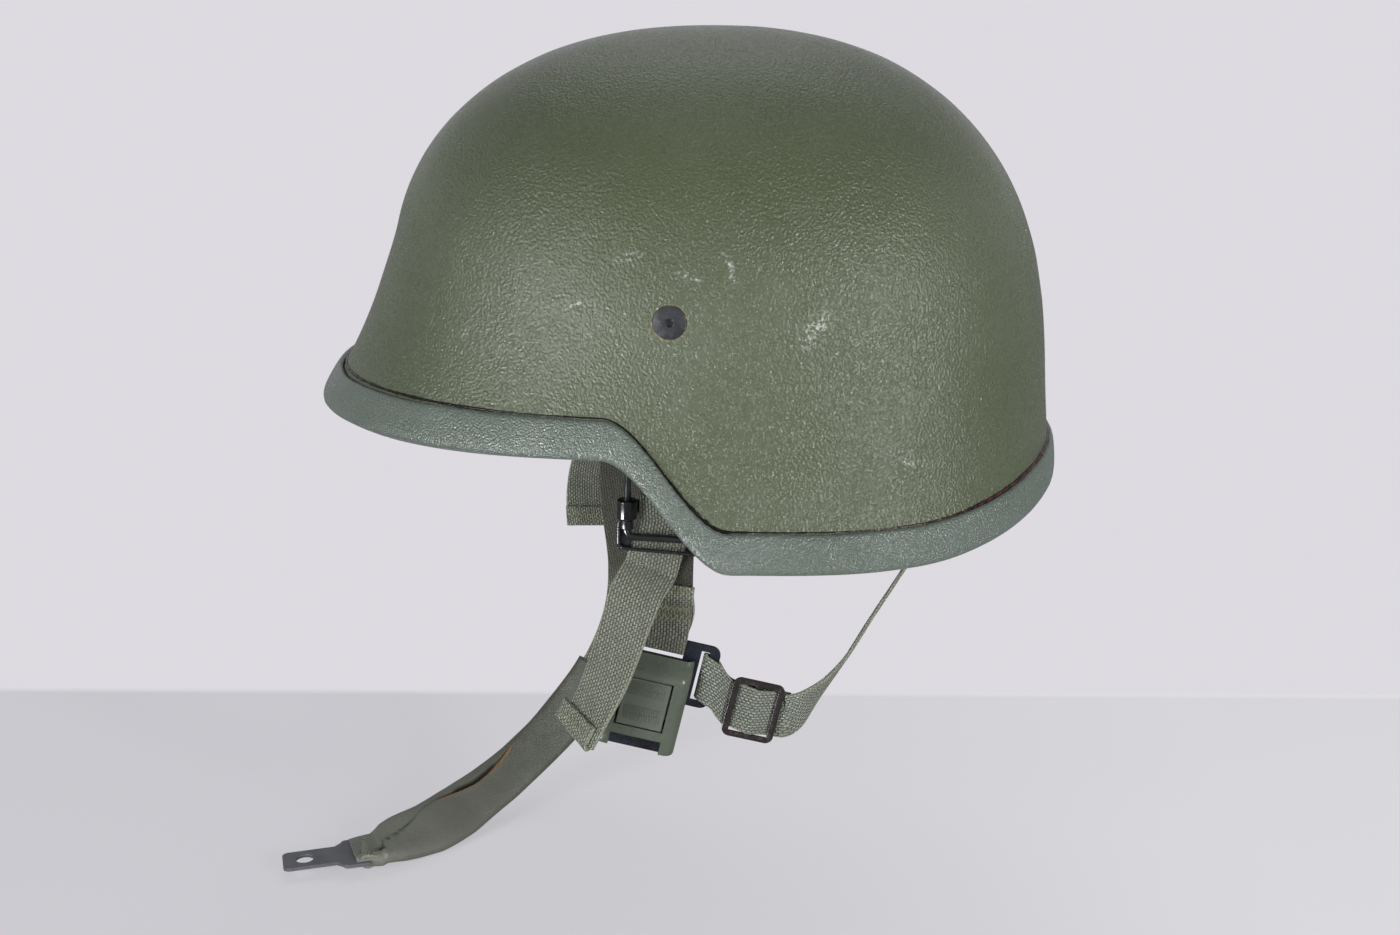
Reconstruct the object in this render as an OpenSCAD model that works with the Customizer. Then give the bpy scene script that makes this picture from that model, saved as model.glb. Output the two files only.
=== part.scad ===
// Combat helmet with its suspension, quick-release buckle, nape strap and chin strap.
// Front is -Y, the wearer's left is +X, up is +Z.
// The origin is the middle of the head ring's oval at the sweatband's lower edge.

/* [Shell] */
// Height of the crown above the origin
crown_z = 120.7; // [110:0.1:135]
// Half width of the dome at the ears
dome_side = 103.5; // [95:0.5:115]
// Length of the dome ahead of the origin
dome_front = 126; // [115:0.5:140]
// Length of the dome behind the origin
dome_rear = 133; // [120:0.5:145]
// Thickness of the moulded shell
shell_wall = 9; // [7:0.1:11]
// How far the brim flares out at the front
brim_flare = 56; // [30:1:70]
// How far the ear flaps flare out
ear_flare = 15.7; // [8:0.1:22]
// How far the nape flares out
nape_flare = 5.4; // [2:0.1:15]
// Height of the brim's lower edge
brim_z = -21.6; // [-30:0.1:-10]
// Drop from the brim to the ear flap
ear_drop = 41.5; // [20:0.5:50]
// Where along the side the drop to the ear flap begins
drop_start_y = -39; // [-60:1:-20]
// Length of the drop along the side
drop_length = 47; // [30:1:70]
// Rise of the edge toward the nape
nape_rise = 13; // [4:0.5:25]

/* [Edge trim] */
// Thickness of the rubber trim
trim_wall = 2.2; // [1.5:0.1:3]
// Height of the trim's legs over the edge
trim_leg = 12.2; // [8:0.1:14]
// Gap between trim and shell, filled by adhesive
trim_gap = 0.3; // [0.2:0.05:0.6]

/* [Shell screws] */
// Radius of the screw head
screw_head_r = 6; // [5:0.1:7]
// Radius of the screw's threaded shank
screw_r = 2; // [1.5:0.1:2.5]
// Outer radius of the sleeve nut
nut_r = 3.2; // [2.8:0.1:4]
// Radius of the sleeve nut's flange
nut_flange_r = 6; // [5:0.1:8]
// Height of the side screws above the origin
side_screw_z = 24.5; // [18:0.5:32]
// Height of the rear screw above the origin
rear_screw_z = 12; // [8:0.5:20]

/* [Hangers] */
// Thickness of the hanger plates and the nape bracket
hanger_t = 1.5; // [1:0.1:2]
// Width of a hanger plate
hanger_w = 14; // [12:0.5:16]
// Distance from the screw down to the hanger's eye
hanger_drop = 57; // [45:0.5:62]
// Tilt of the left hanger about its screw
left_tilt = 2; // [-5:0.5:20]
// Tilt of the right hanger about its screw
right_tilt = 17; // [-5:0.5:20]

/* [Wire loops and slide bars] */
// Radius of the wire
wire_r = 1.4; // [1.2:0.05:1.6]
// Half the distance between the two legs
leg_y = 14.2; // [13:0.1:16]
// Length from the hanger's eye to the bottom bar
loop_drop = 25; // [22:0.5:30]
// Bend radius of the wire's lower corners
loop_bend = 3; // [2:0.1:4]
// Radius of a slide bar's knuckle
knuckle_r = 3.9; // [3:0.1:4.2]
// Height of a slide bar's knuckle
knuckle_h = 7.5; // [6:0.1:9]

/* [Webbing] */
// Width of the adjusting webbing
web_w = 20; // [18:0.5:22]
// Thickness of the webbing
web_t = 1.5; // [1.2:0.1:1.8]
// Width of the nape webbing
nape_w = 18; // [16:0.5:19]

/* [Buckle] */
// Width of the buckle's cover
cover_w = 31; // [28:0.5:34]
// Height of the buckle's cover
cover_h = 36; // [34:0.5:40]
// Width of the release button
button_w = 17.8; // [16:0.1:19]
// Height of the release button
button_h = 19; // [17:0.1:21]
// Travel of the release button
button_travel = 2.2; // [1.8:0.1:2.4]
// Thickness of the back plate
plate_t = 1.5; // [1:0.1:2]

/* [Chin sleeve and tongue] */
// Width of the chin sleeve
sleeve_w = 27; // [24:0.5:32]
// Thickness of the chin sleeve
sleeve_t = 7; // [5.5:0.1:9]
// Length of the tongue plate
tongue_l = 38; // [34:0.5:42]
// Thickness of the tongue plate
tongue_t = 1.6; // [1.2:0.1:2]
// Radius of the tongue's latch hole
tongue_hole_r = 4; // [3:0.1:4.5]

/* [Head ring and liner] */
// Half width of the head ring at mid height
ring_side = 82; // [76:0.5:86]
// Half length of the head ring at mid height
ring_long = 103; // [96:0.5:108]
// Thickness of the head ring
ring_t = 1.6; // [1.2:0.1:2.5]
// Height of the head ring
ring_h = 36; // [28:1:40]
// Thickness of the sweatband's cushion
sweat_t = 4; // [3:0.1:6]
// Radius of the crown drawcord
cord_r = 1.6; // [1.2:0.1:2]
// Radius of the circle of the crown drawcord
cord_ring_r = 24; // [18:0.5:30]

/* [Hidden] */
$fn = 48;

shell_n = 2.2;
root_n = 2 / shell_n;
flare_base = -60;
flare_power = 1.56;
fit = 0.3;
run = 0.06;

// Small vector helpers
function unit(v) = v / norm(v);
function rx(a) = [[1, 0, 0], [0, cos(a), -sin(a)], [0, sin(a), cos(a)]];
function ry(a) = [[cos(a), 0, sin(a)], [0, 1, 0], [-sin(a), 0, cos(a)]];
function rz(a) = [[cos(a), -sin(a), 0], [sin(a), cos(a), 0], [0, 0, 1]];
function sx(s) = [[s, 0, 0], [0, 1, 0], [0, 0, 1]];
function mix(a, b, t) = a + (b - a) * t;
function smooth(t) = let (u = min(max(t, 0), 1)) u * u * (3 - 2 * u);

// Puts what was drawn about a local origin at o, turned by the 3 x 3 matrix m
module place(o, m)
    multmatrix([
        [m[0][0], m[0][1], m[0][2], o[0]],
        [m[1][0], m[1][1], m[1][2], o[1]],
        [m[2][0], m[2][1], m[2][2], o[2]],
        [0, 0, 0, 1]])
        children();

// Solid through a list of equal closed loops of points; cap lists the triangles of an end
module skin(loops, closed = false, cap = []) {
    n = len(loops);
    k = len(loops[0]);
    pts = [for (l = loops) for (p = l) p];
    last = closed ? n : n - 1;
    sides = [for (j = [0 : last - 1]) for (i = [0 : k - 1])
        let (a = j * k + i, b = j * k + (i + 1) % k,
            c = ((j + 1) % n) * k + (i + 1) % k, d = ((j + 1) % n) * k + i)
        for (f = [[a, b, c], [a, c, d]]) f];
    ends = len(cap) > 0 ? cap : [for (i = [1 : k - 2]) [0, i, i + 1]];
    caps = closed ? [] : concat([for (e = ends) [e[0], e[2], e[1]]],
        [for (e = ends) [for (i = e) (n - 1) * k + i]]);
    all = concat(sides, caps);
    turn = [for (f = all) cross(pts[f[0]], pts[f[1]]) * pts[f[2]]] * [for (f = all) 1];
    polyhedron(points = pts, faces = turn < 0 ? all : [for (f = all) [f[0], f[2], f[1]]],
        convexity = 8);
}

// Smooth curve through keys, each a flat list of numbers, with s steps per key
function cr(p, q, r, w, t) = 0.5 * (2 * q + (r - p) * t + (2 * p - 5 * q + 4 * r - w) * t * t
    + (3 * q - p - 3 * r + w) * t * t * t);
function curve(keys, s) = [for (i = [0 : len(keys) - 2]) for (j = [0 : s - 1])
    cr(keys[max(i - 1, 0)], keys[i], keys[i + 1], keys[min(i + 2, len(keys) - 1)], j / s)];

// Stations of a strap: path entries are [point, width direction]
function tangent(path, i) = let (n = len(path))
    unit(path[min(i + 1, n - 1)][0] - path[max(i - 1, 0)][0]);
function frame_at(path, i) = let (t = tangent(path, i), n = unit(cross(t, path[i][1])))
    [path[i][0], path[i][2] == 1 ? path[i][1] : unit(cross(n, t)), n];
// Keeps the width direction along a slot that the strap leaves at a slant
function slanted(path) = [for (p = path) [p[0], p[1], 1]];
function frames(path) = [for (i = [0 : len(path) - 1]) frame_at(path, i)];
web_section = [[-1, 0], [-0.96, -1], [0.96, -1], [1, 0], [0.96, 1], [-0.96, 1]];
module ribbon(path, w, t)
    skin([for (f = frames(path))
        [for (c = web_section) f[0] + c[0] * w / 2 * f[1] + c[1] * t / 2 * f[2]]]);

// Shell surface: azimuth 0 is the front, 90 the wearer's left, 180 the rear
function by_side(a, f, s, r) = s + (f - s) * pow(max(cos(a), 0), 2)
    + (r - s) * pow(max(-cos(a), 0), 2);
function oval(a) = [sign(sin(a)) * pow(abs(sin(a)), root_n),
    -sign(cos(a)) * pow(abs(cos(a)), root_n)];
function shoulder(a) = by_side(a, 21.4, 9.8, -7.6);
function roundness(a) = by_side(a, 2.24, 2.2, 2.33);
function dome(a, z) = let (b = shoulder(a), m = roundness(a),
    h = min(max((z - b) / (crown_z - b), 0), 1)) pow(max(1 - pow(h, m), 0), 1 / m);
function flare(a, z) = let (top = by_side(a, 46.5, 20.3, 28.3),
    w = max((top - z) / (top - flare_base), 0))
    by_side(a, brim_flare, ear_flare, nape_flare) * pow(w, flare_power);
function shell_pt(a, z) = let (o = oval(a), d = dome(a, z), f = flare(a, z))
    [o[0] * (dome_side * d + f), o[1] * ((o[1] < 0 ? dome_front : dome_rear) * d + f), z];
function shell_n_at(a, z) = let (d = 0.05,
    u = shell_pt(a + d, z) - shell_pt(a - d, z), v = shell_pt(a, z + d) - shell_pt(a, z - d))
    unit(cross(u, v));
function edge_height(y) = brim_z - smooth((y + 145) / 75)
    - (ear_drop - 2.6) * smooth((y - drop_start_y) / drop_length) - 1.6 * smooth((y - 5) / 60)
    + nape_rise * pow(max(y - 75, 0) / 62, 2);
function edge_z(a, n = 8, z = -40) = n == 0 ? z : edge_z(a, n - 1, edge_height(shell_pt(a, z)[1]));

rows = 16;
row_1 = 12.6;
function row_z(i, ez) = i == 0 ? ez : i == 1 ? ez + row_1
    : ez + (crown_z - ez) * cos(80 * (1 - (i - 1) / (rows - 1)));
half = concat([for (a = [0 : 6 : 54]) a], [for (a = [60 : 3 : 69]) a], [for (a = [71 : 1.8 : 98]) a],
    [for (a = [102 : 6 : 174]) a]);
round_half = concat(half, [180], [for (i = [len(half) - 1 : -1 : 1]) 360 - half[i]]);
turns = len(round_half);

module shell() color([0.33, 0.36, 0.27]) {
    outer = [for (a = round_half) let (ez = edge_z(a))
        [for (i = [0 : rows - 1]) shell_pt(a, row_z(i, ez))]];
    inner = [for (a = round_half) let (ez = edge_z(a))
        [for (i = [0 : rows - 1]) let (z = row_z(i, ez))
            shell_pt(a, z) - shell_wall * shell_n_at(a, z)]];
    pts = concat([for (c = outer) for (p = c) p], [for (c = inner) for (p = c) p],
        [[0, 0, crown_z], [0, 0, crown_z - shell_wall]]);
    n = turns * rows;
    faces = concat(
        [for (j = [0 : turns - 1]) for (i = [0 : rows - 2])
            let (k = (j + 1) % turns, a = j * rows + i, b = k * rows + i)
            for (f = [[a, a + 1, b + 1], [a, b + 1, b]]) f],
        [for (j = [0 : turns - 1]) for (i = [0 : rows - 2])
            let (k = (j + 1) % turns, a = n + j * rows + i, b = n + k * rows + i)
            for (f = [[a, b + 1, a + 1], [a, b, b + 1]]) f],
        [for (j = [0 : turns - 1]) let (k = (j + 1) % turns)
            [j * rows + rows - 1, 2 * n, k * rows + rows - 1]],
        [for (j = [0 : turns - 1]) let (k = (j + 1) % turns)
            [n + j * rows + rows - 1, n + k * rows + rows - 1, 2 * n + 1]],
        [for (j = [0 : turns - 1]) let (k = (j + 1) % turns)
            for (f = [[j * rows, k * rows, n + k * rows], [j * rows, n + k * rows, n + j * rows]]) f]);
    difference() {
        polyhedron(points = pts, faces = faces, convexity = 6);
        place(side_o(1), side_m(1)) screw_seat();
        place(side_o(-1), side_m(-1)) screw_seat();
        place(rear_o, rear_m) screw_seat();
    }
}

// Edge trim: a U-shaped strip following the shell's edge, open at the nape
trim_turn = concat([180.25], [for (a = round_half) if (a > 181) a],
    [for (a = round_half) if (a < 179) a + 360], [539.75]);
function trim_loop(a) = let (ez = edge_z(a), z1 = ez + row_1,
    p0 = shell_pt(a, ez), p1 = shell_pt(a, z1), n0 = shell_n_at(a, ez), n1 = shell_n_at(a, z1),
    q0 = p0 - shell_wall * n0, q1 = p1 - shell_wall * n1,
    u = unit(p1 - p0), v = unit(q1 - q0), d = trim_gap, e = trim_gap + trim_wall)
    [p0 + e * n0 + (trim_leg - 1) * u, p0 + (e - 0.8) * n0 + trim_leg * u,
        p0 + d * n0 + trim_leg * u, p0 + d * n0 - d * u,
        q0 - d * n0 - d * v, q0 - d * n0 + trim_leg * v,
        q0 - (e - 0.8) * n0 + trim_leg * v, q0 - e * n0 + (trim_leg - 1) * v,
        q0 - e * n0 - (d + 0.6) * v, q0 - (e - 1.6) * n0 - e * v,
        p0 + (e - 1.6) * n0 - e * u, p0 + e * n0 - (d + 0.6) * u];
module edge_trim() color([0.19, 0.24, 0.2])
    skin([for (a = trim_turn) trim_loop(a)], false, [[0, 1, 2], [0, 2, 3], [0, 3, 11], [3, 10, 11],
        [3, 4, 10], [4, 9, 10], [4, 8, 9], [4, 5, 8], [5, 7, 8], [5, 6, 7]]);

// Places of the screws: local x points out of the shell, local z up the hanger
side_lean = 5.1;
side_yaw = -3.2;
rear_lean = 4.5;
function side_o(s) = sx(s) * shell_pt(85, side_screw_z);
function side_m(s) = sx(s) * rz(side_yaw) * ry(-side_lean) * rx(s > 0 ? -left_tilt : -right_tilt);
rear_o = shell_pt(180, rear_screw_z);
rear_m = rz(90) * ry(-rear_lean);

module along_x(x, r, l, r2 = -1) translate([x, 0, 0]) rotate([0, 90, 0])
    cylinder(r1 = r, r2 = r2 < 0 ? r : r2, h = l);

head_cone = 3;
module screw_seat() {
    along_x(-2 * shell_wall, nut_r + 0.3, 2 * shell_wall);
    along_x(-head_cone - 0.4, nut_r + 0.3, head_cone + 0.4, screw_head_r + 0.25);
    along_x(-0.01, screw_head_r + 0.25, 3);
}

// Depth of the head ring's outer face under the shell's, along each screw
ring_depth_side = side_o(1)[0] - ring_side + 0.9;
ring_depth_rear = rear_o[1] - ring_long - 0.67;
module shell_screw(ring_depth) color([0.2, 0.2, 0.2]) difference() {
    union() {
        along_x(-head_cone, screw_r + 0.6, head_cone, screw_head_r);
        along_x(0, screw_head_r, 0.25);
        along_x(0.25, screw_head_r, 0.7, 2.4);
        along_x(-ring_depth + 3, screw_r, ring_depth - 3);
    }
    along_x(-0.8, 1.5, 3);
}
module sleeve_nut(ring_depth) color([0.28, 0.28, 0.27]) difference() {
    union() {
        along_x(-ring_depth - ring_t - 0.3, nut_r, ring_depth + ring_t + 0.3 - 3.8);
        along_x(-ring_depth - ring_t - 1.5, nut_flange_r, 1.2);
    }
    along_x(-ring_depth - ring_t, screw_r + run, 60);
}

module screw_left() place(side_o(1), side_m(1)) shell_screw(ring_depth_side);
module screw_right() place(side_o(-1), side_m(-1)) shell_screw(ring_depth_side);
module screw_rear() place(rear_o, rear_m) shell_screw(ring_depth_rear);
module nut_left() place(side_o(1), side_m(1)) sleeve_nut(ring_depth_side);
module nut_right() place(side_o(-1), side_m(-1)) sleeve_nut(ring_depth_side);
module nut_rear() place(rear_o, rear_m) sleeve_nut(ring_depth_rear);

// Hangers: flat strip on the shell's inner face with a rolled eye at its lower end
hanger_x = -shell_wall - 2.8;
eye_r = wire_r + run;
eye_wall = 1.5;
eye_x = -13.2;
module hanger() color([0.12, 0.12, 0.12]) difference() {
    union() {
        translate([hanger_x - hanger_t, 0, 0]) rotate([90, 0, 90]) linear_extrude(hanger_t) {
            circle(r = 8.5);
            translate([-hanger_w / 2, -hanger_drop]) square([hanger_w, hanger_drop]);
        }
        translate([eye_x, hanger_w / 2, -hanger_drop]) rotate([90, 0, 0])
            cylinder(r = eye_r + eye_wall, h = hanger_w);
    }
    along_x(hanger_x - 3, nut_r + 0.2, 4);
    translate([eye_x, hanger_w, -hanger_drop]) rotate([90, 0, 0])
        cylinder(r = eye_r, h = 2 * hanger_w);
}
module hanger_left() place(side_o(1), side_m(1)) hanger();
module hanger_right() place(side_o(-1), side_m(-1)) hanger();

// Nape bracket: joggled strip with a slot for the nape strap
bracket_x = -shell_wall - 1.5;
bracket_in = 6;
bracket_low = -50;
bracket_bar = 3.4;
bracket_slot = 3.6;
module nape_bracket() color([0.12, 0.12, 0.12]) place(rear_o, rear_m) difference() {
    translate([0, 12, 0]) rotate([90, 0, 0]) linear_extrude(24)
        polygon([[bracket_x, 9], [bracket_x, -24], [bracket_x - bracket_in, -33],
            [bracket_x - bracket_in, bracket_low], [bracket_x - bracket_in - hanger_t, bracket_low],
            [bracket_x - bracket_in - hanger_t, -32.4], [bracket_x - hanger_t, -23.4],
            [bracket_x - hanger_t, 9]]);
    along_x(bracket_x - 3, nut_r + 0.2, 4);
    translate([bracket_x - bracket_in - 4, -nape_w / 2 - 0.6, bracket_low + bracket_bar])
        cube([8, nape_w + 1.2, bracket_slot]);
}

// Head ring: an oval strip, a little narrower at its top like the head
ring_low = 2;
ring_mid = ring_low + ring_h / 2;
ring_lean = 0.089;
function ring_pt(a, off, z) = let (o = oval(a), g = ring_lean * (ring_mid - z) + off)
    [o[0] * (ring_side + g), o[1] * (ring_long + g), z];
module head_ring() color([0.1, 0.1, 0.1]) {
    z0 = ring_low;
    z1 = ring_low + ring_h;
    difference() {
        skin([for (j = [0 : 63]) let (a = j * 360 / 64)
            [ring_pt(a, 0, z0 + 0.5), ring_pt(a, -0.5, z0), ring_pt(a, -ring_t, z0),
                ring_pt(a, -ring_t, z1), ring_pt(a, -0.5, z1), ring_pt(a, 0, z1 - 0.5)]], true);
        place(side_o(1), side_m(1)) along_x(-60, nut_r + 0.2, 50);
        place(side_o(-1), side_m(-1)) along_x(-60, nut_r + 0.2, 50);
        place(rear_o, rear_m) along_x(-60, nut_r + 0.2, 50);
    }
}
module spacer(back_x, deep) color([0.08, 0.08, 0.08]) difference() {
    along_x(back_x - deep, 7.5, deep - 0.25);
    along_x(back_x - deep - 1, nut_r + 0.2, deep + 2);
}
side_spacer = ring_depth_side + hanger_x - hanger_t + 5.8;
rear_spacer = ring_depth_rear + bracket_x - hanger_t + 7;
module spacer_left() difference() {
    place(side_o(1), side_m(1)) spacer(hanger_x - hanger_t, side_spacer);
    ring_wall_cut();
}
module spacer_right() difference() {
    place(side_o(-1), side_m(-1)) spacer(hanger_x - hanger_t, side_spacer);
    ring_wall_cut();
}
module spacer_rear() difference() {
    place(rear_o, rear_m) spacer(bracket_x - hanger_t, rear_spacer);
    ring_wall_cut();
}
// Thick band that stands for everything inside the ring's outer face
module ring_wall_cut() skin([for (j = [0 : 63]) let (a = j * 360 / 64)
    [ring_pt(a, fit, -12), ring_pt(a, -30, -12), ring_pt(a, -30, 52), ring_pt(a, fit, 52)]], true);

// Sweatband: padded leather cushion inside the ring
sweat_gap = ring_t + 2.2;
function sweat_loop(a) = let (e = -ring_t - fit, g = -sweat_gap, i = -sweat_gap - sweat_t)
    [ring_pt(a, e, 1), ring_pt(a, e, 1.8), ring_pt(a, g, 3), ring_pt(a, g, 34),
        ring_pt(a, g, 38), ring_pt(a, g - 1, 40), ring_pt(a, i + 1.2, 39.5),
        ring_pt(a, i + 0.2, 34), ring_pt(a, i - 0.4, 20), ring_pt(a, i + 0.2, 6),
        ring_pt(a, i + 1.2, 0.6), ring_pt(a, g, 0)];
module sweatband() color([0.24, 0.15, 0.08])
    skin([for (j = [0 : 55]) sweat_loop(j * 360 / 56)], true);

// Crown fingers: leather tongues from the ring to the drawcord
finger_t = 0.9;
cord_z = 97;
finger_rows = [[1, 33.5, 24, 0], [0.989, 41, 24, 0], [0.94, 58, 23, 0], [0.83, 74, 21.5, 0],
    [0.63, 88, 20, 0.25], [0.45, 95.5, 19, 0.6]];
wrap_r = cord_r + 0.3 + finger_t / 2;
function ring_r(a) = norm([ring_pt(a, -ring_t - 0.8, 33.5)[0], ring_pt(a, -ring_t - 0.8, 33.5)[1]]);
function ring_dir(a) = let (p = ring_pt(a, 0, 20)) unit([p[0], p[1]]);
function finger_profile(a) = concat(
    [for (r = finger_rows) [mix(ring_r(a) * r[0], 55 * r[0] + 12, r[3]), r[1], r[2]]],
    [for (t = [90 : 40 : 330]) [cord_ring_r + wrap_r * cos(t), cord_z + wrap_r * sin(t), 20]]);
function finger_side(a0, k, side) = [for (i = [-3 : 3]) let (
    prof = finger_profile(a0 + i / 3 * 24 * 0.6), n = len(prof),
    d = [prof[min(k + 1, n - 1)][0] - prof[max(k - 1, 0)][0],
        prof[min(k + 1, n - 1)][1] - prof[max(k - 1, 0)][1]],
    nn = unit([d[1], -d[0]]),
    a = a0 + i / 3 * prof[k][2] * 0.8,
    r = finger_profile(a)[k][0], u = ring_dir(a))
    [u[0] * (r + side * nn[0] * finger_t / 2), u[1] * (r + side * nn[0] * finger_t / 2),
        prof[k][1] + side * nn[1] * finger_t / 2]];
module finger(i) color([0.26, 0.16, 0.08]) {
    a0 = 22.5 + 45 * (i - 1);
    skin([for (k = [0 : len(finger_profile(a0)) - 1])
        concat(finger_side(a0, k, 1), [for (q = [6 : -1 : 0]) finger_side(a0, k, -1)[q]])],
        false, [for (i = [0 : 5]) for (f = [[i, i + 1, 12 - i], [i, 12 - i, 13 - i]]) f]);
}
module crown_finger_1() finger(1);
module crown_finger_2() finger(2);
module crown_finger_3() finger(3);
module crown_finger_4() finger(4);
module crown_finger_5() finger(5);
module crown_finger_6() finger(6);
module crown_finger_7() finger(7);
module crown_finger_8() finger(8);

// Drawcord: a closed round with a knot and two short ends hanging inside it
function round_loop(r, z) = [for (t = [0 : 36 : 324]) [r * cos(t), r * sin(t), z]];
module crown_cord() color([0.2, 0.21, 0.15]) {
    skin([for (j = [0 : 43]) let (a = j * 360 / 44) [for (p = round_loop(cord_r, 0))
        [(cord_ring_r + p[0]) * cos(a), (cord_ring_r + p[0]) * sin(a), cord_z + p[1]]]], true);
    translate([0, -cord_ring_r + 1, cord_z]) rotate([0, 90, 0])
        skin([for (t = [-70, -40, 0, 40, 70]) round_loop(2.35 * cos(t), 2.35 * sin(t))]);
    for (s = [-1, 1]) translate([0, -cord_ring_r + 1.6, cord_z]) rotate([180 + 55, 0, s * 28])
        skin([round_loop(cord_r - 0.3, 0), round_loop(cord_r - 0.3, 12), round_loop(0.8, 13)]);
}

// Wire loops, hanging free in the hangers' eyes
function hang_o(s) = side_o(s) + side_m(s) * [eye_x, 0, -hanger_drop];
function hang_m(s) = side_m(s) * ry(side_lean);
module wire_loop() color([0.13, 0.13, 0.13]) {
    straight = leg_y - loop_bend;
    translate([0, leg_y, 0]) rotate([90, 0, 0]) cylinder(r = wire_r, h = 2 * leg_y);
    translate([0, straight, -loop_drop]) rotate([90, 0, 0]) cylinder(r = wire_r, h = 2 * straight);
    for (s = [-1, 1]) {
        translate([0, s * leg_y, 0]) sphere(r = wire_r);
        translate([0, s * leg_y, -loop_drop + loop_bend]) cylinder(r = wire_r, h = loop_drop - loop_bend);
        translate([0, s * straight, -loop_drop + loop_bend])
            rotate([0, 90, 0]) rotate([0, 0, s > 0 ? 0 : -90])
                rotate_extrude(angle = 90) translate([loop_bend, 0]) circle(r = wire_r);
    }
}
module wire_loop_left() place(hang_o(1), hang_m(1)) wire_loop();
module wire_loop_right() place(hang_o(-1), hang_m(-1)) wire_loop();

// Slide bars: two knuckles that ride on the legs, joined by a flat bar
bar_x = -4.4;
bar_t = 1.8;
bar_h = 5;
knuckle_low = -18;
module slide_bar() color([0.1, 0.1, 0.1]) difference() {
    mid = knuckle_low + knuckle_h / 2;
    union() {
        for (s = [-1, 1]) translate([0, s * leg_y, knuckle_low]) cylinder(r = knuckle_r, h = knuckle_h);
        translate([bar_x - bar_t / 2, -leg_y, mid - bar_h / 2]) cube([bar_t, 2 * leg_y, bar_h]);
        for (s = [-1, 1]) translate([bar_x - bar_t / 2, s * (leg_y - 0.4) - 2.2, mid - bar_h / 2])
            cube([-bar_x + bar_t / 2, 4.4, bar_h]);
    }
    for (s = [-1, 1]) translate([0, s * leg_y, knuckle_low - 1])
        cylinder(r = wire_r + run, h = knuckle_h + 2);
}
module slide_bar_left() place(hang_o(1), hang_m(1)) slide_bar();
module slide_bar_right() place(hang_o(-1), hang_m(-1)) slide_bar();

// Guards: clenched on the legs under the knuckles, with a lip bar across the front
lip_z = -30;
module guard() color([0.11, 0.11, 0.11]) difference() {
    union() {
        for (s = [-1, 1]) {
            translate([0, s * leg_y, -21.8]) cylinder(r = wire_r + 1.3, h = 3.6);
            translate([-1.4, s * (leg_y + 1.9) - 0.6, lip_z - 1.6]) cube([3, 1.2, -lip_z + 1.6 - 18.2]);
        }
        translate([-1.2, -leg_y - 2.5, lip_z - 1.6]) cube([1.8, 2 * leg_y + 5, 3.2]);
    }
    for (s = [-1, 1]) translate([0, s * leg_y, -30]) cylinder(r = wire_r + run, h = 20);
}
module guard_left() place(hang_o(1), hang_m(1)) guard();
module guard_right() place(hang_o(-1), hang_m(-1)) guard();

// Straps through the adjusters: tail in front, over the slide bar, load part behind
wrap_web = bar_t / 2 + 0.3 + web_t / 2;
front_x = bar_x + wrap_web;
back_x = bar_x - wrap_web;
wrap_z = knuckle_low + knuckle_h / 2 + bar_h / 2 - 0.4;
function hang_pt(s, p) = hang_o(s) + hang_m(s) * p;
function hang_w(s) = hang_m(s) * [0, 1, 0];
tail_low = lip_z - 8;
tail_lead = 0.26;
function front_pt(s, z) = hang_pt(s, [front_x, tail_lead * (z + 19), z]);
function front_w(s) = hang_m(s) * unit([0, 1, -tail_lead]);
function over_bar(s) = concat(
    [for (z = [tail_low, -26]) [front_pt(s, z), front_w(s)]], [[front_pt(s, -19), hang_w(s)]],
    [for (t = [0 : 30 : 180])
        [hang_pt(s, [bar_x + wrap_web * cos(t), 0, wrap_z + wrap_web * sin(t)]), hang_w(s)]],
    [for (z = [-19, -25]) [hang_pt(s, [back_x, 0, z]), hang_w(s)]]);
function free_run(keys, s) = [for (k = curve(keys, s))
    [[k[0], k[1], k[2]], unit([k[3], k[4], k[5]])]];
function key(p, w) = [p[0], p[1], p[2], w[0], w[1], w[2]];

// Buckle frame: local x out of the front, y across toward the nape, z up
buckle_o = [96, -23.9, -121];
buckle_m = rx(-13.5);
function buckle_pt(p) = buckle_o + buckle_m * p;
buckle_w = buckle_m * [0, 1, 0];
plate_front = -3.8;
plate_mid = plate_front - plate_t / 2;
slot_low = 18.5;
slot_h = 3;
plate_top = 24.6;
bar_loop = plate_t / 2 + 0.3 + web_t / 2;
bar_low = slot_low + slot_h;

left_tail = free_run([
    key([107.3, -48.8, -132], [0.34, 0.72, -0.6]), key([108, -46.3, -124.1], [0.26, 0.85, -0.45]),
    key([108.2, -42, -112.9], [0.18, 0.91, -0.36]), key([107.2, -37.6, -102], [0.1, 0.94, -0.32]),
    key([104.5, -32.6, -91], [0.03, 0.95, -0.3]), key([99.6, -28.2, -81.5], [0, 0.96, -0.28]),
    key([96, -25.4, -75.4], [0, 0.97, -0.25]), key(front_pt(1, tail_low), front_w(1))], 3);
left_load = free_run([key(hang_pt(1, [back_x, 0, -27]), hang_w(1)),
    key([89.6, -17.2, -68], [0, 1, -0.06]), key([90.6, -17.4, -80], [0, 1, -0.14]),
    key(buckle_pt([plate_mid + 1.05, 0, 34]), buckle_w),
    key(buckle_pt([plate_mid + bar_loop, 0, 26.5]), buckle_w)], 3);
left_bar = concat(
    [[buckle_pt([plate_mid + bar_loop, 0, 24.2]), buckle_w]],
    [for (t = [0 : -30 : -180])
        [buckle_pt([plate_mid + bar_loop * cos(t), 0, bar_low + bar_loop * sin(t)]), buckle_w]],
    [for (z = [24.2, 26.5]) [buckle_pt([plate_mid - bar_loop, 0, z]), buckle_w]],
    [[buckle_pt([plate_mid - 0.85, 0, 33]), buckle_w], [buckle_pt([plate_mid - 1.2, 0, 43]), buckle_w]]);
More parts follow.
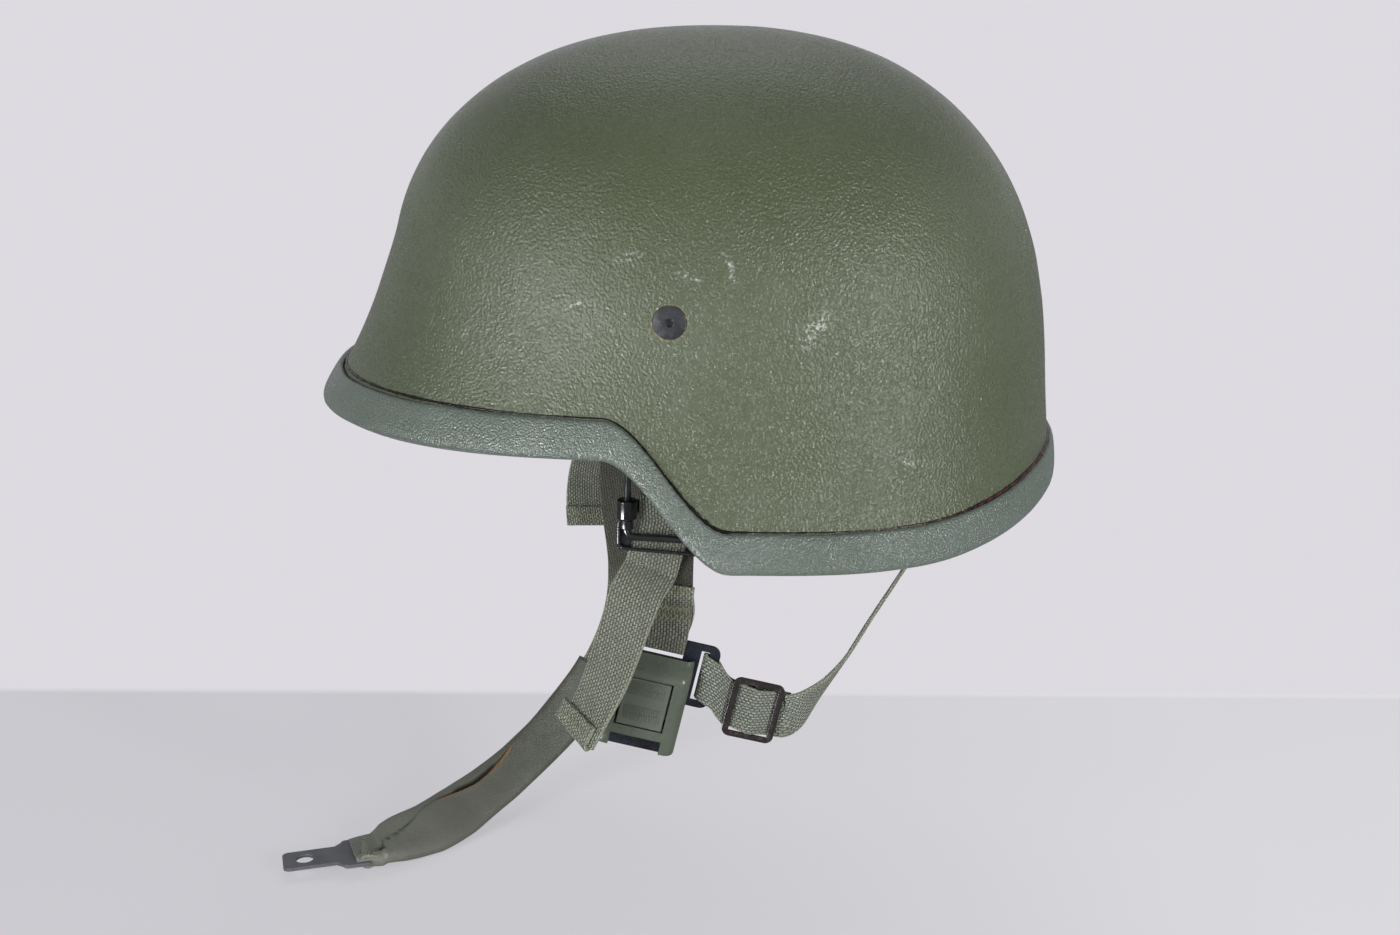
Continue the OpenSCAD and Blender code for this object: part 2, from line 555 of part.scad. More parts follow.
module hem(path, w) {
    f = frames(path);
    ribbon([for (i = [0 : 2]) [path[i][0] - (web_t - 0.1) * f[i][2], f[i][1]]], w, web_t);
}
module strap_left() color([0.27, 0.3, 0.2]) {
    ribbon(concat(left_tail, over_bar(1), left_load, left_bar), web_w, web_t);
    hem(left_tail, web_w);
}

// Buckle
module slab(y0, y1, z0, z1, x0, x1) translate([x0, y0, z0]) cube([x1 - x0, y1 - y0, z1 - z0]);
module rounded(y0, y1, z0, z1, r) {
    translate([y0 + r, z0]) square([y1 - y0 - 2 * r, z1 - z0]);
    translate([y0, z0 + r]) square([y1 - y0, z1 - z0 - 2 * r]);
    for (y = [y0 + r, y1 - r]) for (z = [z0 + r, z1 - r]) translate([y, z]) circle(r = r);
}
module sheet_x(x, t) translate([x, 0, 0]) rotate([90, 0, 90]) linear_extrude(t) children();
rivet_spots = [[-13.1, 13], [13.1, 13], [-13.1, -14], [13.1, -14]];
rivet_r = 1.1;
latch_pivot = [-3.2, 0, 14.2];
nape_slot_y = 17;
nape_slot_w = 3.2;
wing_y = 24.3;
wing_low = -0.6;
module buckle_plate() color([0.1, 0.1, 0.11]) place(buckle_o, buckle_m) difference() {
    sheet_x(plate_front - plate_t, plate_t) {
        rounded(-cover_w / 2 + 0.3, cover_w / 2 - 0.3, -cover_h / 2 + 0.4, plate_top, 2);
        rounded(0, wing_y, wing_low, plate_top, 3.5);
    }
    slab(-web_w / 2 - 0.6, web_w / 2 + 0.6, slot_low, slot_low + slot_h, -8, 0);
    slab(nape_slot_y, nape_slot_y + nape_slot_w, 12 - nape_w / 2 - 1.1, 12 + nape_w / 2 + 1.1, -8, 0);
    for (p = rivet_spots) translate([-8, p[0], p[1]]) rotate([0, 90, 0]) cylinder(r = rivet_r + run, h = 8);
    translate([-8, 0, latch_pivot[2]]) rotate([0, 90, 0]) cylinder(r = rivet_r + run, h = 8);
    translate([-8, 0, -14.6]) rotate([0, 90, 0]) cylinder(r = 2.3, h = 8);
}
cover_front = 5.3;
cover_back = plate_front + 0.2;
module buckle_cover() color([0.25, 0.29, 0.2]) place(buckle_o, buckle_m) difference() {
    intersection() {
        translate([0, 0, -cover_h / 2]) linear_extrude(cover_h) {
            translate([cover_back, -cover_w / 2]) square([5.7, cover_w]);
            translate([cover_back, -cover_w / 2 + 3.2]) square([cover_front - cover_back, cover_w - 6.4]);
            for (s = [-1, 1]) translate([cover_front - 3.2, s * (cover_w / 2 - 3.2)]) circle(r = 3.2);
        }
        translate([0, cover_w / 2 + 1, 0]) rotate([90, 0, 0]) linear_extrude(cover_w + 2)
            polygon([[cover_back - 1, -cover_h / 2], [cover_front - 1, -cover_h / 2],
                [cover_front, -cover_h / 2 + 1], [cover_front + 0.1, 11], [4.6, 12.4],
                [0.2, cover_h / 2 - 0.6], [-0.6, cover_h / 2], [cover_back - 1, cover_h / 2]]);
    }
    slab(-11, 11, -13.9, 10.2, cover_back - 1, 2.6);
    slab(-11, 11, 10, 13, cover_back - 1, 0.4);
    slab(-11, 11, 12, 16.2, cover_back - 1, -1.2);
    slab(-button_w / 2 - 0.25, button_w / 2 + 0.25, -button_h / 2 - 0.55, button_h / 2 - 0.05, 0, 8);
    slab(-9.75, 9.75, -cover_h / 2 - 1, -13.9, cover_back - 1, 8);
    for (p = rivet_spots) translate([cover_back - 1, p[0], p[1]]) rotate([0, 90, 0])
        cylinder(r = rivet_r + run, h = 4.4);
}
module release_button() color([0.26, 0.3, 0.21]) place(buckle_o, buckle_m) {
    top = button_h / 2 - 0.3;
    low = -button_h / 2 - 0.3;
    slab(-button_w / 2, button_w / 2, low, top, 4.2, 5.6);
    for (s = [-1, 1]) {
        slab(min(s * 8.9, s * 8), max(s * 8.9, s * 8), low, top, 1.5, 4.5);
        slab(min(s * 8.9, s * 8), max(s * 8.9, s * 8), -4.8, -1.5, 0.05, 2);
        slab(min(s * 10.4, s * 8), max(s * 10.4, s * 8), low + 4, top - 4, 1.5, 2.3);
    }
    for (b = [-5.6, 5.0]) for (i = [-7 : 7])
        slab(i * 0.95 - 0.2, i * 0.95 + 0.2, b - 1.9, b + 1.9, 5.5, 5.85);
}
leaf_w = 10.3;
module latch_spring() color([0.16, 0.16, 0.17]) place(buckle_o, buckle_m) difference() {
    union() {
        translate([0, leaf_w, 0]) rotate([90, 0, 0]) linear_extrude(2 * leaf_w)
            polygon([[-0.1, -5], [-0.1, 10], [-2.7, 12.4], [-2.7, 15.8], [-3.3, 15.8],
                [-3.3, 12.1], [-0.7, 9.6], [-0.7, -5]]);
        translate([-0.4, 0, -1.5]) rotate([0, 90, 0]) cylinder(r = tongue_hole_r - 0.6, h = 2.4);
    }
    translate([-5, 0, latch_pivot[2]]) rotate([0, 90, 0]) cylinder(r = 1.35, h = 4);
}
module rivet_x(x0, x1, head_t, head_r) {
    translate([x0, 0, 0]) rotate([0, 90, 0]) cylinder(r = rivet_r, h = x1 - x0);
    translate([x0 - head_t, 0, 0]) rotate([0, 90, 0]) cylinder(r = head_r, h = head_t);
}
module latch_rivet() color([0.15, 0.15, 0.15]) place(buckle_pt([0, 0, latch_pivot[2]]), buckle_m) {
    rivet_x(plate_front - plate_t - 0.1, -2, 0.8, 2);
    translate([-2.35, 0, 0]) rotate([0, 90, 0]) cylinder(r = 1.9, h = 0.7);
}
module cover_rivet(i) color([0.15, 0.15, 0.15])
    place(buckle_pt([0, rivet_spots[i - 1][0], rivet_spots[i - 1][1]]), buckle_m)
        rivet_x(plate_front - plate_t - 0.1, -0.6, 0.8, 2);
module cover_rivet_1() cover_rivet(1);
module cover_rivet_2() cover_rivet(2);
module cover_rivet_3() cover_rivet(3);
module cover_rivet_4() cover_rivet(4);

// Nape strap and its slide
slide_o = [93, 17.2, -127];
slide_m = rz(3) * rx(-14);
slide_t = 1.2;
function slide_pt(p) = slide_o + slide_m * p;
module nape_slide() color([0.2, 0.16, 0.14]) place(slide_o, slide_m) difference() {
    sheet_x(-slide_t / 2, slide_t) rounded(-10, 10, -12, 12, 3);
    for (y = [-7.5, 1.2]) slab(y, y + 6.3, -nape_w / 2 - 0.8, nape_w / 2 + 0.8, -3, 3);
}
weave = slide_t / 2 + 0.4 + web_t / 2;
up_b = buckle_m * [0, 0, 1];
up_s = slide_m * [0, 0, 1];
wrap_y = nape_slot_y + nape_slot_w + 0.35;
function wing_pt(x, y) = buckle_pt([x, y, 12 - 0.4 * (y - wrap_y + 1)]);
bracket_turn = bracket_x - bracket_in - hanger_t / 2;
function rear_pt(p) = rear_o + rear_m * p;
nape_loop = slanted(concat(
    free_run([key(slide_pt([-weave - 2, 13, -0.4]), up_s), key(slide_pt([-weave - 2, 0, 0]), up_s),
        key(slide_pt([-weave - 2, -10.5, 0.4]), up_s),
        key(wing_pt(plate_mid - bar_loop, wing_y + 0.3), up_b)], 3),
    [[wing_pt(plate_mid - bar_loop, wing_y - 1.2), up_b]],
    [for (t = [180 : -30 : 0]) [wing_pt(plate_mid + bar_loop * cos(t),
        wrap_y - bar_loop * sin(t)), up_b]],
    [[wing_pt(plate_mid + bar_loop, wing_y - 1.2), up_b]],
    [[wing_pt(plate_mid + bar_loop, wing_y + 1), up_b]],
    [for (p = [[-weave, -10.3, 0.3], [-weave, -7.9, 0.2], [weave, -0.8, 0], [weave, 0.8, 0],
        [-weave, 7.9, -0.2], [-weave, 10.6, -0.2]]) [slide_pt(p), up_s]]));
nape_run = free_run([key(slide_pt([-weave, 12.5, -0.2]), up_s),
    key([88, 35.4, -128.2], [0.3, 0.1, 0.95]), key([80.5, 44, -122.5], [0.75, 0.05, 0.66]),
    key([70, 53.5, -114.3], [0.93, -0.05, 0.38]), key([57, 64, -102.5], [0.93, -0.06, 0.34]),
    key([42, 77, -88.5], [0.93, -0.06, 0.34]), key([24, 93.5, -70], [0.95, -0.03, 0.25]),
    key([9, 106.5, -54], [0.99, 0, 0.08]),
    key(rear_pt([bracket_turn - bar_loop, 0, bracket_low - 2]), [1, 0, 0])], 3);
nape_turn = bracket_low + bracket_bar - 0.35;
nape_end = concat([[rear_pt([bracket_turn - bar_loop, 0, bracket_low + 1]), [1, 0, 0]]],
    [for (t = [180 : -30 : 0]) [rear_pt([bracket_turn + bar_loop * cos(t), 0,
        nape_turn + bar_loop * sin(t)]), [1, 0, 0]]],
    [[rear_pt([bracket_turn + bar_loop, 0, bracket_low + 0.6]), [1, 0, 0]],
        [rear_pt([bracket_turn + bar_loop, 0, bracket_low - 3]), [1, 0, 0]]]);
nape_path = concat(nape_loop, nape_run, slanted(nape_end));
module nape_strap() color([0.27, 0.3, 0.2]) ribbon(nape_path, nape_w, web_t);

// Chin strap from the right adjuster, through the chin sleeve, to the tongue plate
tongue_dir = unit([0.25, -0.968, -0.03]);
tongue_w = unit(cross([0, 0, 1], tongue_dir)) * -1;
tongue_n = cross(tongue_w, tongue_dir) * -1;
tongue_tip = [2, -187.5, -239];
tongue_m = [[tongue_dir[0], tongue_w[0], tongue_n[0]], [tongue_dir[1], tongue_w[1], tongue_n[1]],
    [tongue_dir[2], tongue_w[2], tongue_n[2]]];
function tongue_pt(p) = tongue_tip + tongue_m * p;
tongue_slot = -tongue_l + 3.4;
tongue_bar = -tongue_l + 1.7;
bar_loop_t = 2 + web_t / 2;
right_tail = free_run([
    key([-107.6, -58.6, -117], [0.1, 1, 0]), key([-108.4, -58.8, -103], [0.05, 1, -0.02]),
    key([-107, -56.5, -89], [0, 0.98, -0.15]), key([-101, -51.5, -78.5], [0, 0.96, -0.25]),
    key([-96.2, -47.8, -72.5], [0, 0.93, -0.35]), key(front_pt(-1, tail_low), front_w(-1))], 3);
chin_keys = [key(hang_pt(-1, [back_x, 0, -27]), hang_w(-1)), key([-89, -40.5, -72], [0, 0.98, -0.2]),
    key([-90, -41.5, -98], [0, 1, -0.08]), key([-92, -38.5, -132], [0, 1, 0]),
    key([-92, -41.5, -158], [0.02, 1, -0.15]), key([-90, -52.5, -184], [0.1, 0.9, -0.42]),
    key([-82, -72, -208], [0.3, 0.78, -0.55]), key([-66, -93, -225], [0.5, 0.68, -0.53]),
    key([-48, -110, -234], [0.62, 0.65, -0.42]), key([-26.5, -125.5, -237.2], [0.8, 0.58, -0.15]),
    key([-14.5, -137.8, -239], [0.93, 0.36, -0.03]),
    key(tongue_pt([tongue_bar - 6.6, 0, -1.2]), tongue_w)];
chin_run = free_run(chin_keys, 3);
chin_end = concat([[tongue_pt([tongue_bar - 6, 0, -1.25]), tongue_w]],
    [for (t = [-105 : 30 : 105]) [tongue_pt([tongue_bar + bar_loop_t * cos(t), 0,
        bar_loop_t * sin(t)]), tongue_w]],
    [[tongue_pt([tongue_bar - 6, 0, 1.1]), tongue_w], [tongue_pt([tongue_bar - 7.4, 0, 1]), tongue_w]]);
module chin_strap() color([0.27, 0.3, 0.2]) {
    ribbon(concat(right_tail, over_bar(-1), chin_run, chin_end), web_w, web_t);
    hem(right_tail, web_w);
}

// Chin sleeve: folded leather tube around the webbing
sleeve_first = 14;
sleeve_last = 30;
sleeve_section = [[-1, 0], [-0.93, -0.72], [-0.6, -1], [0.6, -1], [0.93, -0.72], [1, 0],
    [0.93, 0.72], [0.6, 1], [-0.6, 1], [-0.93, 0.72]];
module chin_sleeve() color([0.13, 0.16, 0.1]) {
    all = frames(chin_run);
    f = [for (i = [sleeve_first : sleeve_last]) all[i]];
    n = len(f);
    swell = [for (i = [0 : n - 1]) 1 - 0.16 * pow(abs(2 * i / (n - 1) - 1), 6)];
    outer = [for (i = [0 : n - 1]) [for (c = sleeve_section)
        f[i][0] + c[0] * sleeve_w / 2 * f[i][1] + c[1] * sleeve_t / 2 * swell[i] * f[i][2]]];
    bore = [for (i = [0 : n - 1]) [for (c = web_section)
        f[i][0] + c[0] * (web_w / 2 + 0.4) * f[i][1] + c[1] * (web_t / 2 + 0.4) * f[i][2]]];
    longer = concat([[for (p = bore[0]) p - 2 * tangent(chin_run, sleeve_first)]], bore,
        [[for (p = bore[n - 1]) p + 2 * tangent(chin_run, sleeve_last)]]);
    difference() {
        skin(outer);
        skin(longer);
    }
}

module tongue_plate() color([0.17, 0.17, 0.18]) place(tongue_tip, tongue_m)
    translate([0, 0, -tongue_t / 2]) linear_extrude(tongue_t) difference() {
        union() {
            translate([-3, 0]) rounded(-4, 3, -7.7, 7.7, 3);
            translate([-24, -7.7]) square([19, 15.4]);
            polygon([[-23, -7.7], [-23, 7.7], [-28, 12.4], [-28, -12.4]]);
            rounded(-tongue_l, -26, -12.4, 12.4, 2);
        }
        translate([-9.6, 0]) circle(r = tongue_hole_r);
        translate([tongue_slot, -web_w / 2 - 0.6]) square([3.2, web_w + 1.2]);
    }

shell();
edge_trim();
screw_left();
screw_right();
screw_rear();
nut_left();
nut_right();
nut_rear();
hanger_left();
hanger_right();
nape_bracket();
spacer_left();
spacer_right();
spacer_rear();
head_ring();
sweatband();
crown_finger_1();
crown_finger_2();
crown_finger_3();
crown_finger_4();
crown_finger_5();
crown_finger_6();
crown_finger_7();
crown_finger_8();
crown_cord();
wire_loop_left();
wire_loop_right();
guard_left();
guard_right();
slide_bar_left();
slide_bar_right();
strap_left();
buckle_plate();
buckle_cover();
release_button();
latch_spring();
latch_rivet();
cover_rivet_1();
cover_rivet_2();
cover_rivet_3();
cover_rivet_4();
nape_strap();
nape_slide();
chin_strap();
chin_sleeve();
tongue_plate();
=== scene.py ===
import bpy
import bmesh
from math import cos, sin, pi, radians, copysign
from mathutils import Matrix, Vector, noise


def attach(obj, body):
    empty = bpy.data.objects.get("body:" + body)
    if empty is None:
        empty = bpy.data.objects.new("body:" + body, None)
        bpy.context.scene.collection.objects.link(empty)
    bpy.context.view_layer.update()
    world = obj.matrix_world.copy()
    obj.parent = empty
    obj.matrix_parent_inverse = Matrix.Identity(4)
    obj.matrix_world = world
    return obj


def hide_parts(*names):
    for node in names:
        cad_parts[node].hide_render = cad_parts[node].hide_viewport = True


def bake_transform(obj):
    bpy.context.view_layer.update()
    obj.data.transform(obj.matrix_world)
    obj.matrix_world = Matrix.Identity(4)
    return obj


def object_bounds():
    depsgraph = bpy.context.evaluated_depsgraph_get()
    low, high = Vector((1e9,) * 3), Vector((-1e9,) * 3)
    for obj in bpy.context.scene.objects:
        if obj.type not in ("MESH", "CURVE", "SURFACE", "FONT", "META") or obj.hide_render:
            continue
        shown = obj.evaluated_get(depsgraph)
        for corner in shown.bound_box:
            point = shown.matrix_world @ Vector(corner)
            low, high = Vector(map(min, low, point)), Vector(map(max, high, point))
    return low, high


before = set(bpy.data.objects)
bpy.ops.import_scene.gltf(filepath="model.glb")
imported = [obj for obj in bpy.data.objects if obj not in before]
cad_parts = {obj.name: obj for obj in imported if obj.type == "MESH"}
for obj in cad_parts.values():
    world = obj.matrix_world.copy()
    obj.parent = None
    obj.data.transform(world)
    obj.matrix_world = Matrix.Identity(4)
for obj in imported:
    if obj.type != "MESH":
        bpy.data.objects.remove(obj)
cad_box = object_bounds()


# Camera and studio: the helmet is seen from its wearer's left, a little from above, on a pale
# table that runs on behind it in a lighter tone. Soft lamps stand at either side of the camera, a
# weaker one hangs overhead, and a small one by the table only gleams in metal and paint.
camera = bpy.data.objects.new("camera", bpy.data.cameras.new("camera"))
bpy.context.scene.collection.objects.link(camera)
camera.location = (0.79595, 0.00639, 0.17056)
camera.rotation_euler = (radians(73.972), 0, radians(90.763))
camera.data.sensor_width = 36
camera.data.lens = 51.43
bpy.context.scene.camera = camera
bpy.context.scene.view_settings.view_transform = "Standard"


def fill(node, inputs):
    """Joins or fills a node's inputs."""
    for name, value in inputs.items():
        if isinstance(value, bpy.types.NodeSocket):
            node.id_data.links.new(value, node.inputs[name])
        else:
            node.inputs[name].default_value = value


def add(near, kind, inputs=None, **settings):
    """Adds a node to the tree that near belongs to, sets it up and joins or fills its inputs."""
    made = near.id_data.nodes.new(kind)
    for name, value in settings.items():
        setattr(made, name, value)
    fill(made, inputs or {})
    return made


def new_finish(name):
    """A bare material, its surface shader and the object's own coordinates."""
    material = bpy.data.materials.new(name)
    material.use_nodes = True
    shader = material.node_tree.nodes["Principled BSDF"]
    return material, shader, add(shader, "ShaderNodeTexCoord").outputs["Object"]


def own_uv(shader):
    """The piece's own UVs, in metres."""
    return add(shader, "ShaderNodeTexCoord").outputs["UV"]


def axis(vector, name):
    """One axis of a vector."""
    return add(vector, "ShaderNodeSeparateXYZ", {"Vector": vector}).outputs[name]


def blotches(place, size, detail=3.0, rough=0.55):
    """Soft noise whose blotches are about size metres across."""
    return add(place, "ShaderNodeTexNoise", {"Vector": place, "Scale": 1 / size, "Detail": detail,
                                             "Roughness": rough}).outputs["Fac"]


def ramp(factor, *stops):
    """Colours at places from 0 to 1 along a factor."""
    made = add(factor, "ShaderNodeValToRGB", {"Fac": factor})
    band = made.color_ramp
    while len(band.elements) < len(stops):
        band.elements.new(0.5)
    for element, (at, colour) in zip(band.elements, stops):
        element.position = at
        element.color = (*colour, 1) if isinstance(colour, tuple) else (colour, colour, colour, 1)
    return made.outputs["Color"]


def mixed(factor, a, b):
    """Two colours mixed by a factor. Each is another node's output or three numbers."""
    a, b = ((*c, 1) if isinstance(c, tuple) else c for c in (a, b))
    return add(factor, "ShaderNodeMix", {0: factor, 6: a, 7: b}, data_type="RGBA").outputs[2]


def sums(how, a, b):
    """One sum on two numbers, of which at least one is another node's output."""
    near = a if isinstance(a, bpy.types.NodeSocket) else b
    return add(near, "ShaderNodeMath", {0: a, 1: b}, operation=how).outputs[0]


def bumped(shader, height, depth, under=None):
    """Raises the surface by depth metres where height is 1, on top of an earlier bump."""
    inputs = {"Height": height, "Distance": depth, "Strength": 1.0}
    if under:
        inputs["Normal"] = under
    out = add(shader, "ShaderNodeBump", inputs).outputs["Normal"]
    fill(shader, {"Normal": out})
    return out


table_z = cad_box[0][2] - 0.0015   # just under the sleeve, which lies on the table
bm = bmesh.new()
bmesh.ops.create_grid(bm, x_segments=2, y_segments=2, size=14,
                      matrix=Matrix.Translation((0, 0, table_z)))
table = bpy.data.objects.new("table", bpy.data.meshes.new("table"))
bm.to_mesh(table.data)
bm.free()
bpy.context.scene.collection.objects.link(table)
material, shader, place = new_finish("table_top")
edge = ramp(sums("ADD", axis(place, "X"), 0.706), (0.497, 0.0), (0.503, 1.0))
fill(shader, {"Base Color": mixed(edge, (0.78, 0.77, 0.80), (0.80, 0.79, 0.83)),
              "Roughness": 0.75, "Specular IOR Level": 0.15})
ray = add(shader, "ShaderNodeLightPath").outputs
seen = sums("MAXIMUM", ray["Is Camera Ray"], ray["Is Transmission Ray"])
beyond = ramp(edge, (0.0, 1.0), (1.0, 0.5))
# Painted light: as the camera sees it, the near table's glow is painted lighter toward its +Y side,
# the picture's right, standing for the fall-off of the lamps' light.
across = ramp(sums("ADD", axis(place, "Y"), 0.5), (0.3, (0.80, 0.785, 0.83)),
              (0.75, (0.98, 0.965, 1.0)))
glow_tone_with_painted_falloff = mixed(edge, (0.72, 0.705, 0.745), across)
# Painted shade: in reflections the whole table shows a flat dark grey instead of its pale tone, a
# painted reflection of shade, so black metal reads near-black.
glow_and_painted_light = add(shader, "ShaderNodeEmission",
           {"Color": mixed(ray["Is Glossy Ray"], glow_tone_with_painted_falloff, (0.2, 0.2, 0.21)), "Strength": 1.0})
share = sums("MAXIMUM", sums("MULTIPLY", seen, beyond), ray["Is Glossy Ray"])
pale = add(shader, "ShaderNodeMixShader", {0: share, 1: shader.outputs[0], 2: glow_and_painted_light.outputs[0]})
fill(material.node_tree.nodes["Material Output"], {"Surface": pale.outputs[0]})
table.data.materials.append(material)

world = bpy.data.worlds.new("studio")
world.use_nodes = True
bpy.context.scene.world = world
sky = world.node_tree.nodes["Background"]
height = axis(add(sky, "ShaderNodeTexCoord").outputs["Generated"], "Z")
fill(sky, {"Color": ramp(height, (0.0, (0.50, 0.505, 0.515)), (0.25, (0.42, 0.425, 0.435)),
                         (0.6, (0.18, 0.185, 0.195)), (1.0, (0.12, 0.125, 0.135)))})


def lamp(name, at, wide, tall, power, aim=(0, 0, 0)):
    """A soft panel lamp at a place, turned toward another, which is mostly the helmet's middle."""
    light = bpy.data.objects.new(name, bpy.data.lights.new(name, "AREA"))
    light.data.shape, light.data.size, light.data.size_y = "RECTANGLE", wide, tall
    light.data.energy = power
    light.location = at
    light.rotation_euler = (Vector(aim) - Vector(at)).to_track_quat("-Z", "Y").to_euler()
    bpy.context.scene.collection.objects.link(light)
    return light


lamp("lamp_nape_side", (1.05, 0.95, 0.10), 0.12, 0.72, 11.0)
lamp("lamp_brim_side", (1.05, -1.0, 0.10), 0.42, 0.72, 10.0)
lamp("lamp_overhead", (-0.8, 0.0, 1.25), 1.2, 1.2, 4)
gleam = lamp("lamp_table_gleam", (0.32, -0.27, table_z + 0.0055), 0.17, 0.17, 2.6,
             aim=(0.107, -0.045, -0.115))
gleam.visible_diffuse = False


# Shell: one bowl of pressed aramid cloth, painted olive with a fine orange peel. The surface is
# the same as the solid's, with the slight waves of a hand-finished moulding, and each of the
# three screws sits in a shallow countersink whose paint has chipped.
crown_z, shell_wall = 120.7, 9.0
half_width, half_front, half_rear = 103.5, 126, 133


def by_side(a, front, side, rear):
    """A size that passes smoothly from the front to the sides and on to the rear."""
    return (side + (front - side) * max(cos(a), 0) ** 2 + (rear - side) * max(-cos(a), 0) ** 2)


def oval(a):
    """Squared oval, seen from above: 0 is the front, a quarter turn is the wearer's left."""
    return (copysign(abs(sin(a)) ** (1 / 1.1), sin(a)), -copysign(abs(cos(a)) ** (1 / 1.1), cos(a)))


def shell_point(a, z):
    """Point of the shell's outer face at an azimuth and a height, in millimetres."""
    low, power = by_side(a, 21.4, 9.8, -7.6), by_side(a, 2.24, 2.2, 2.33)
    rise = min(max((z - low) / (crown_z - low), 0), 1)
    dome = max(1 - rise ** power, 0) ** (1 / power)
    top = by_side(a, 46.5, 20.3, 28.3)
    flare = by_side(a, 56, 15.7, 5.4) * (max(top - z, 0) / (top + 60)) ** 1.56
    x, y = oval(a)
    half_length = half_front if y < 0 else half_rear
    return Vector((x * (half_width * dome + flare), y * (half_length * dome + flare), z))


def shell_normal(a, z):
    """Outward normal of the shell's outer face."""
    if z > crown_z - 0.2:
        return Vector((0, 0, 1))
    d = radians(0.05)
    u = shell_point(a + d, z) - shell_point(a - d, z)
    v = shell_point(a, z + 0.05) - shell_point(a, z - 0.05)
    return u.cross(v).normalized()


def step_up(t):
    """Smooth step from 0 to 1."""
    t = min(max(t, 0), 1)
    return t * t * (3 - 2 * t)


def edge_z(a):
    """Height of the shell's edge: the brim, the drop to the ear flap and the rise to the nape."""
    z = -40.0
    for _ in range(9):
        y = shell_point(a, z).y
        z = (-21.6 - step_up((y + 145) / 75) - 38.9 * step_up((y + 39) / 47)
             - 1.6 * step_up((y - 5) / 60) + 13 * (max(y - 75, 0) / 62) ** 2)
    return z


def arc(first, last, step):
    """Angles in radians at equal steps, from degrees."""
    return [radians(angle) for angle in range(first, last + 1, step)]


def closed_ends(bm):
    """Fills the open ends of tubes and straps."""
    bmesh.ops.holes_fill(bm, edges=[e for e in bm.edges if e.is_boundary], sides=0)


def loft(bm, around, along, place, size=(1, 1), wrap=False, close_ends=False):
    """Grid of cells whose corners are moved by place(u, v), in millimetres, with its own UVs in
    metres. wrap joins its two long sides; close_ends fills the open ends."""
    uv = bm.loops.layers.uv.verify()
    grid = bmesh.ops.create_grid(bm, x_segments=around, y_segments=along, size=0.5, calc_uvs=True)
    verts = grid["verts"]
    faces = {f for v in verts for f in v.link_faces}
    for f in faces:
        f.smooth = True
        for corner in f.loops:
            corner[uv].uv = (corner[uv].uv.x * size[0], corner[uv].uv.y * size[1])
    for v in verts:
        v.co = 0.001 * place(v.co.x + 0.5, v.co.y + 0.5)
    if wrap:
        bmesh.ops.remove_doubles(bm, verts=verts, dist=2e-6)
    if close_ends:
        closed_ends(bm)
    return faces


def piece(name, bm, body, nodes, material, outward=True):
    """Turns the mesh into a piece that rides on a body, if one is named, and stands for nodes."""
    if outward:
        bmesh.ops.recalc_face_normals(bm, faces=bm.faces)
    mesh = bpy.data.meshes.new(name)
    bm.to_mesh(mesh)
    bm.free()
    made = bpy.data.objects.new(name, mesh)
    bpy.context.scene.collection.objects.link(made)
    mesh.materials.append(material)
    if body:
        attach(made, body)
    if nodes:
        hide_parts(*nodes)
    return made


def crisp(made, flat=True):
    """Smooth shading with sharp edges; flat evens the shading of wide flat faces."""
    for f in made.data.polygons:
        f.use_smooth = True
    made.data.set_sharp_from_angle(angle=radians(40))
    if flat:
        made.modifiers.new("flat_faces", "WEIGHTED_NORMAL").keep_sharp = True


def turned(*turns):
    """Turns about axes, given as (axis, degrees), joined into one matrix."""
    made = Matrix.Identity(3)
    for axis, angle in turns:
        made = made @ Matrix.Rotation(radians(angle), 3, axis)
    return made


mirror_x = Matrix.Diagonal((-1, 1, 1))
side_place = shell_point(radians(85), 24.5)
screws = {
    "left": (side_place, turned(("Z", -3.2), ("Y", -5.1), ("X", -2))),
    "right": (mirror_x @ side_place, mirror_x @ turned(("Z", -3.2), ("Y", -5.1), ("X", -17))),
    "rear": (shell_point(pi, 12), turned(("Z", 90), ("Y", -4.5))),
}

material, shader, place = new_finish("shell_paint")
broad = blotches(place, 0.07, 5.0)
colour = ramp(broad, (0.32, (0.089, 0.109, 0.059)), (0.52, (0.102, 0.122, 0.070)),
              (0.7, (0.115, 0.134, 0.082)))
grain = blotches(place, 0.0009, 2.0, 0.7)
colour = mixed(ramp(grain, (0.5, 0.0), (0.75, 0.30)), colour, (0.185, 0.2, 0.155))
colour = mixed(ramp(grain, (0.26, 0.35), (0.42, 0.0)), colour, (0.055, 0.065, 0.038))


def mark(at, turn, size):
    """Mask of one long scuff: 1 in the middle of a stretched ball."""
    moved = add(shader, "ShaderNodeMapping", {"Vector": place, "Location": at, "Rotation": turn,
                                              "Scale": size}, vector_type="TEXTURE")
    ball = add(shader, "ShaderNodeTexGradient", {"Vector": moved.outputs[0]},
               gradient_type="SPHERICAL").outputs["Fac"]
    return sums("MULTIPLY", ball, 1.6)


scuff_rows = (((0.0966, -0.0284, 0.0469), 14, 0.007, 0.0018),
              ((0.1001, -0.0064, 0.0405), -16, 0.006, 0.0018),
              ((0.0994, 0.007, 0.0450), -60, 0.006, 0.0020),
              ((0.0994, 0.009, 0.0400), -60, 0.003, 0.0020),
              ((0.0994, 0.038, 0.0214), 55, 0.010, 0.0060),
              ((0.0986, 0.046, 0.0130), 30, 0.006, 0.0007),
              ((0.0806, -0.0884, 0.0159), 60, 0.004, 0.0015),
              ((0.0963, 0.0715, -0.0273), -35, 0.006, 0.0016),
              ((0.098, -0.047, 0.030), 25, 0.009, 0.0008),
              ((-0.098, 0.031, 0.02), 25, 0.009, 0.003),
              ((-0.06, -0.09, 0.05), 70, 0.007, 0.002), ((0.02, 0.131, 0.03), 0, 0.008, 0.002))
scuffs = None
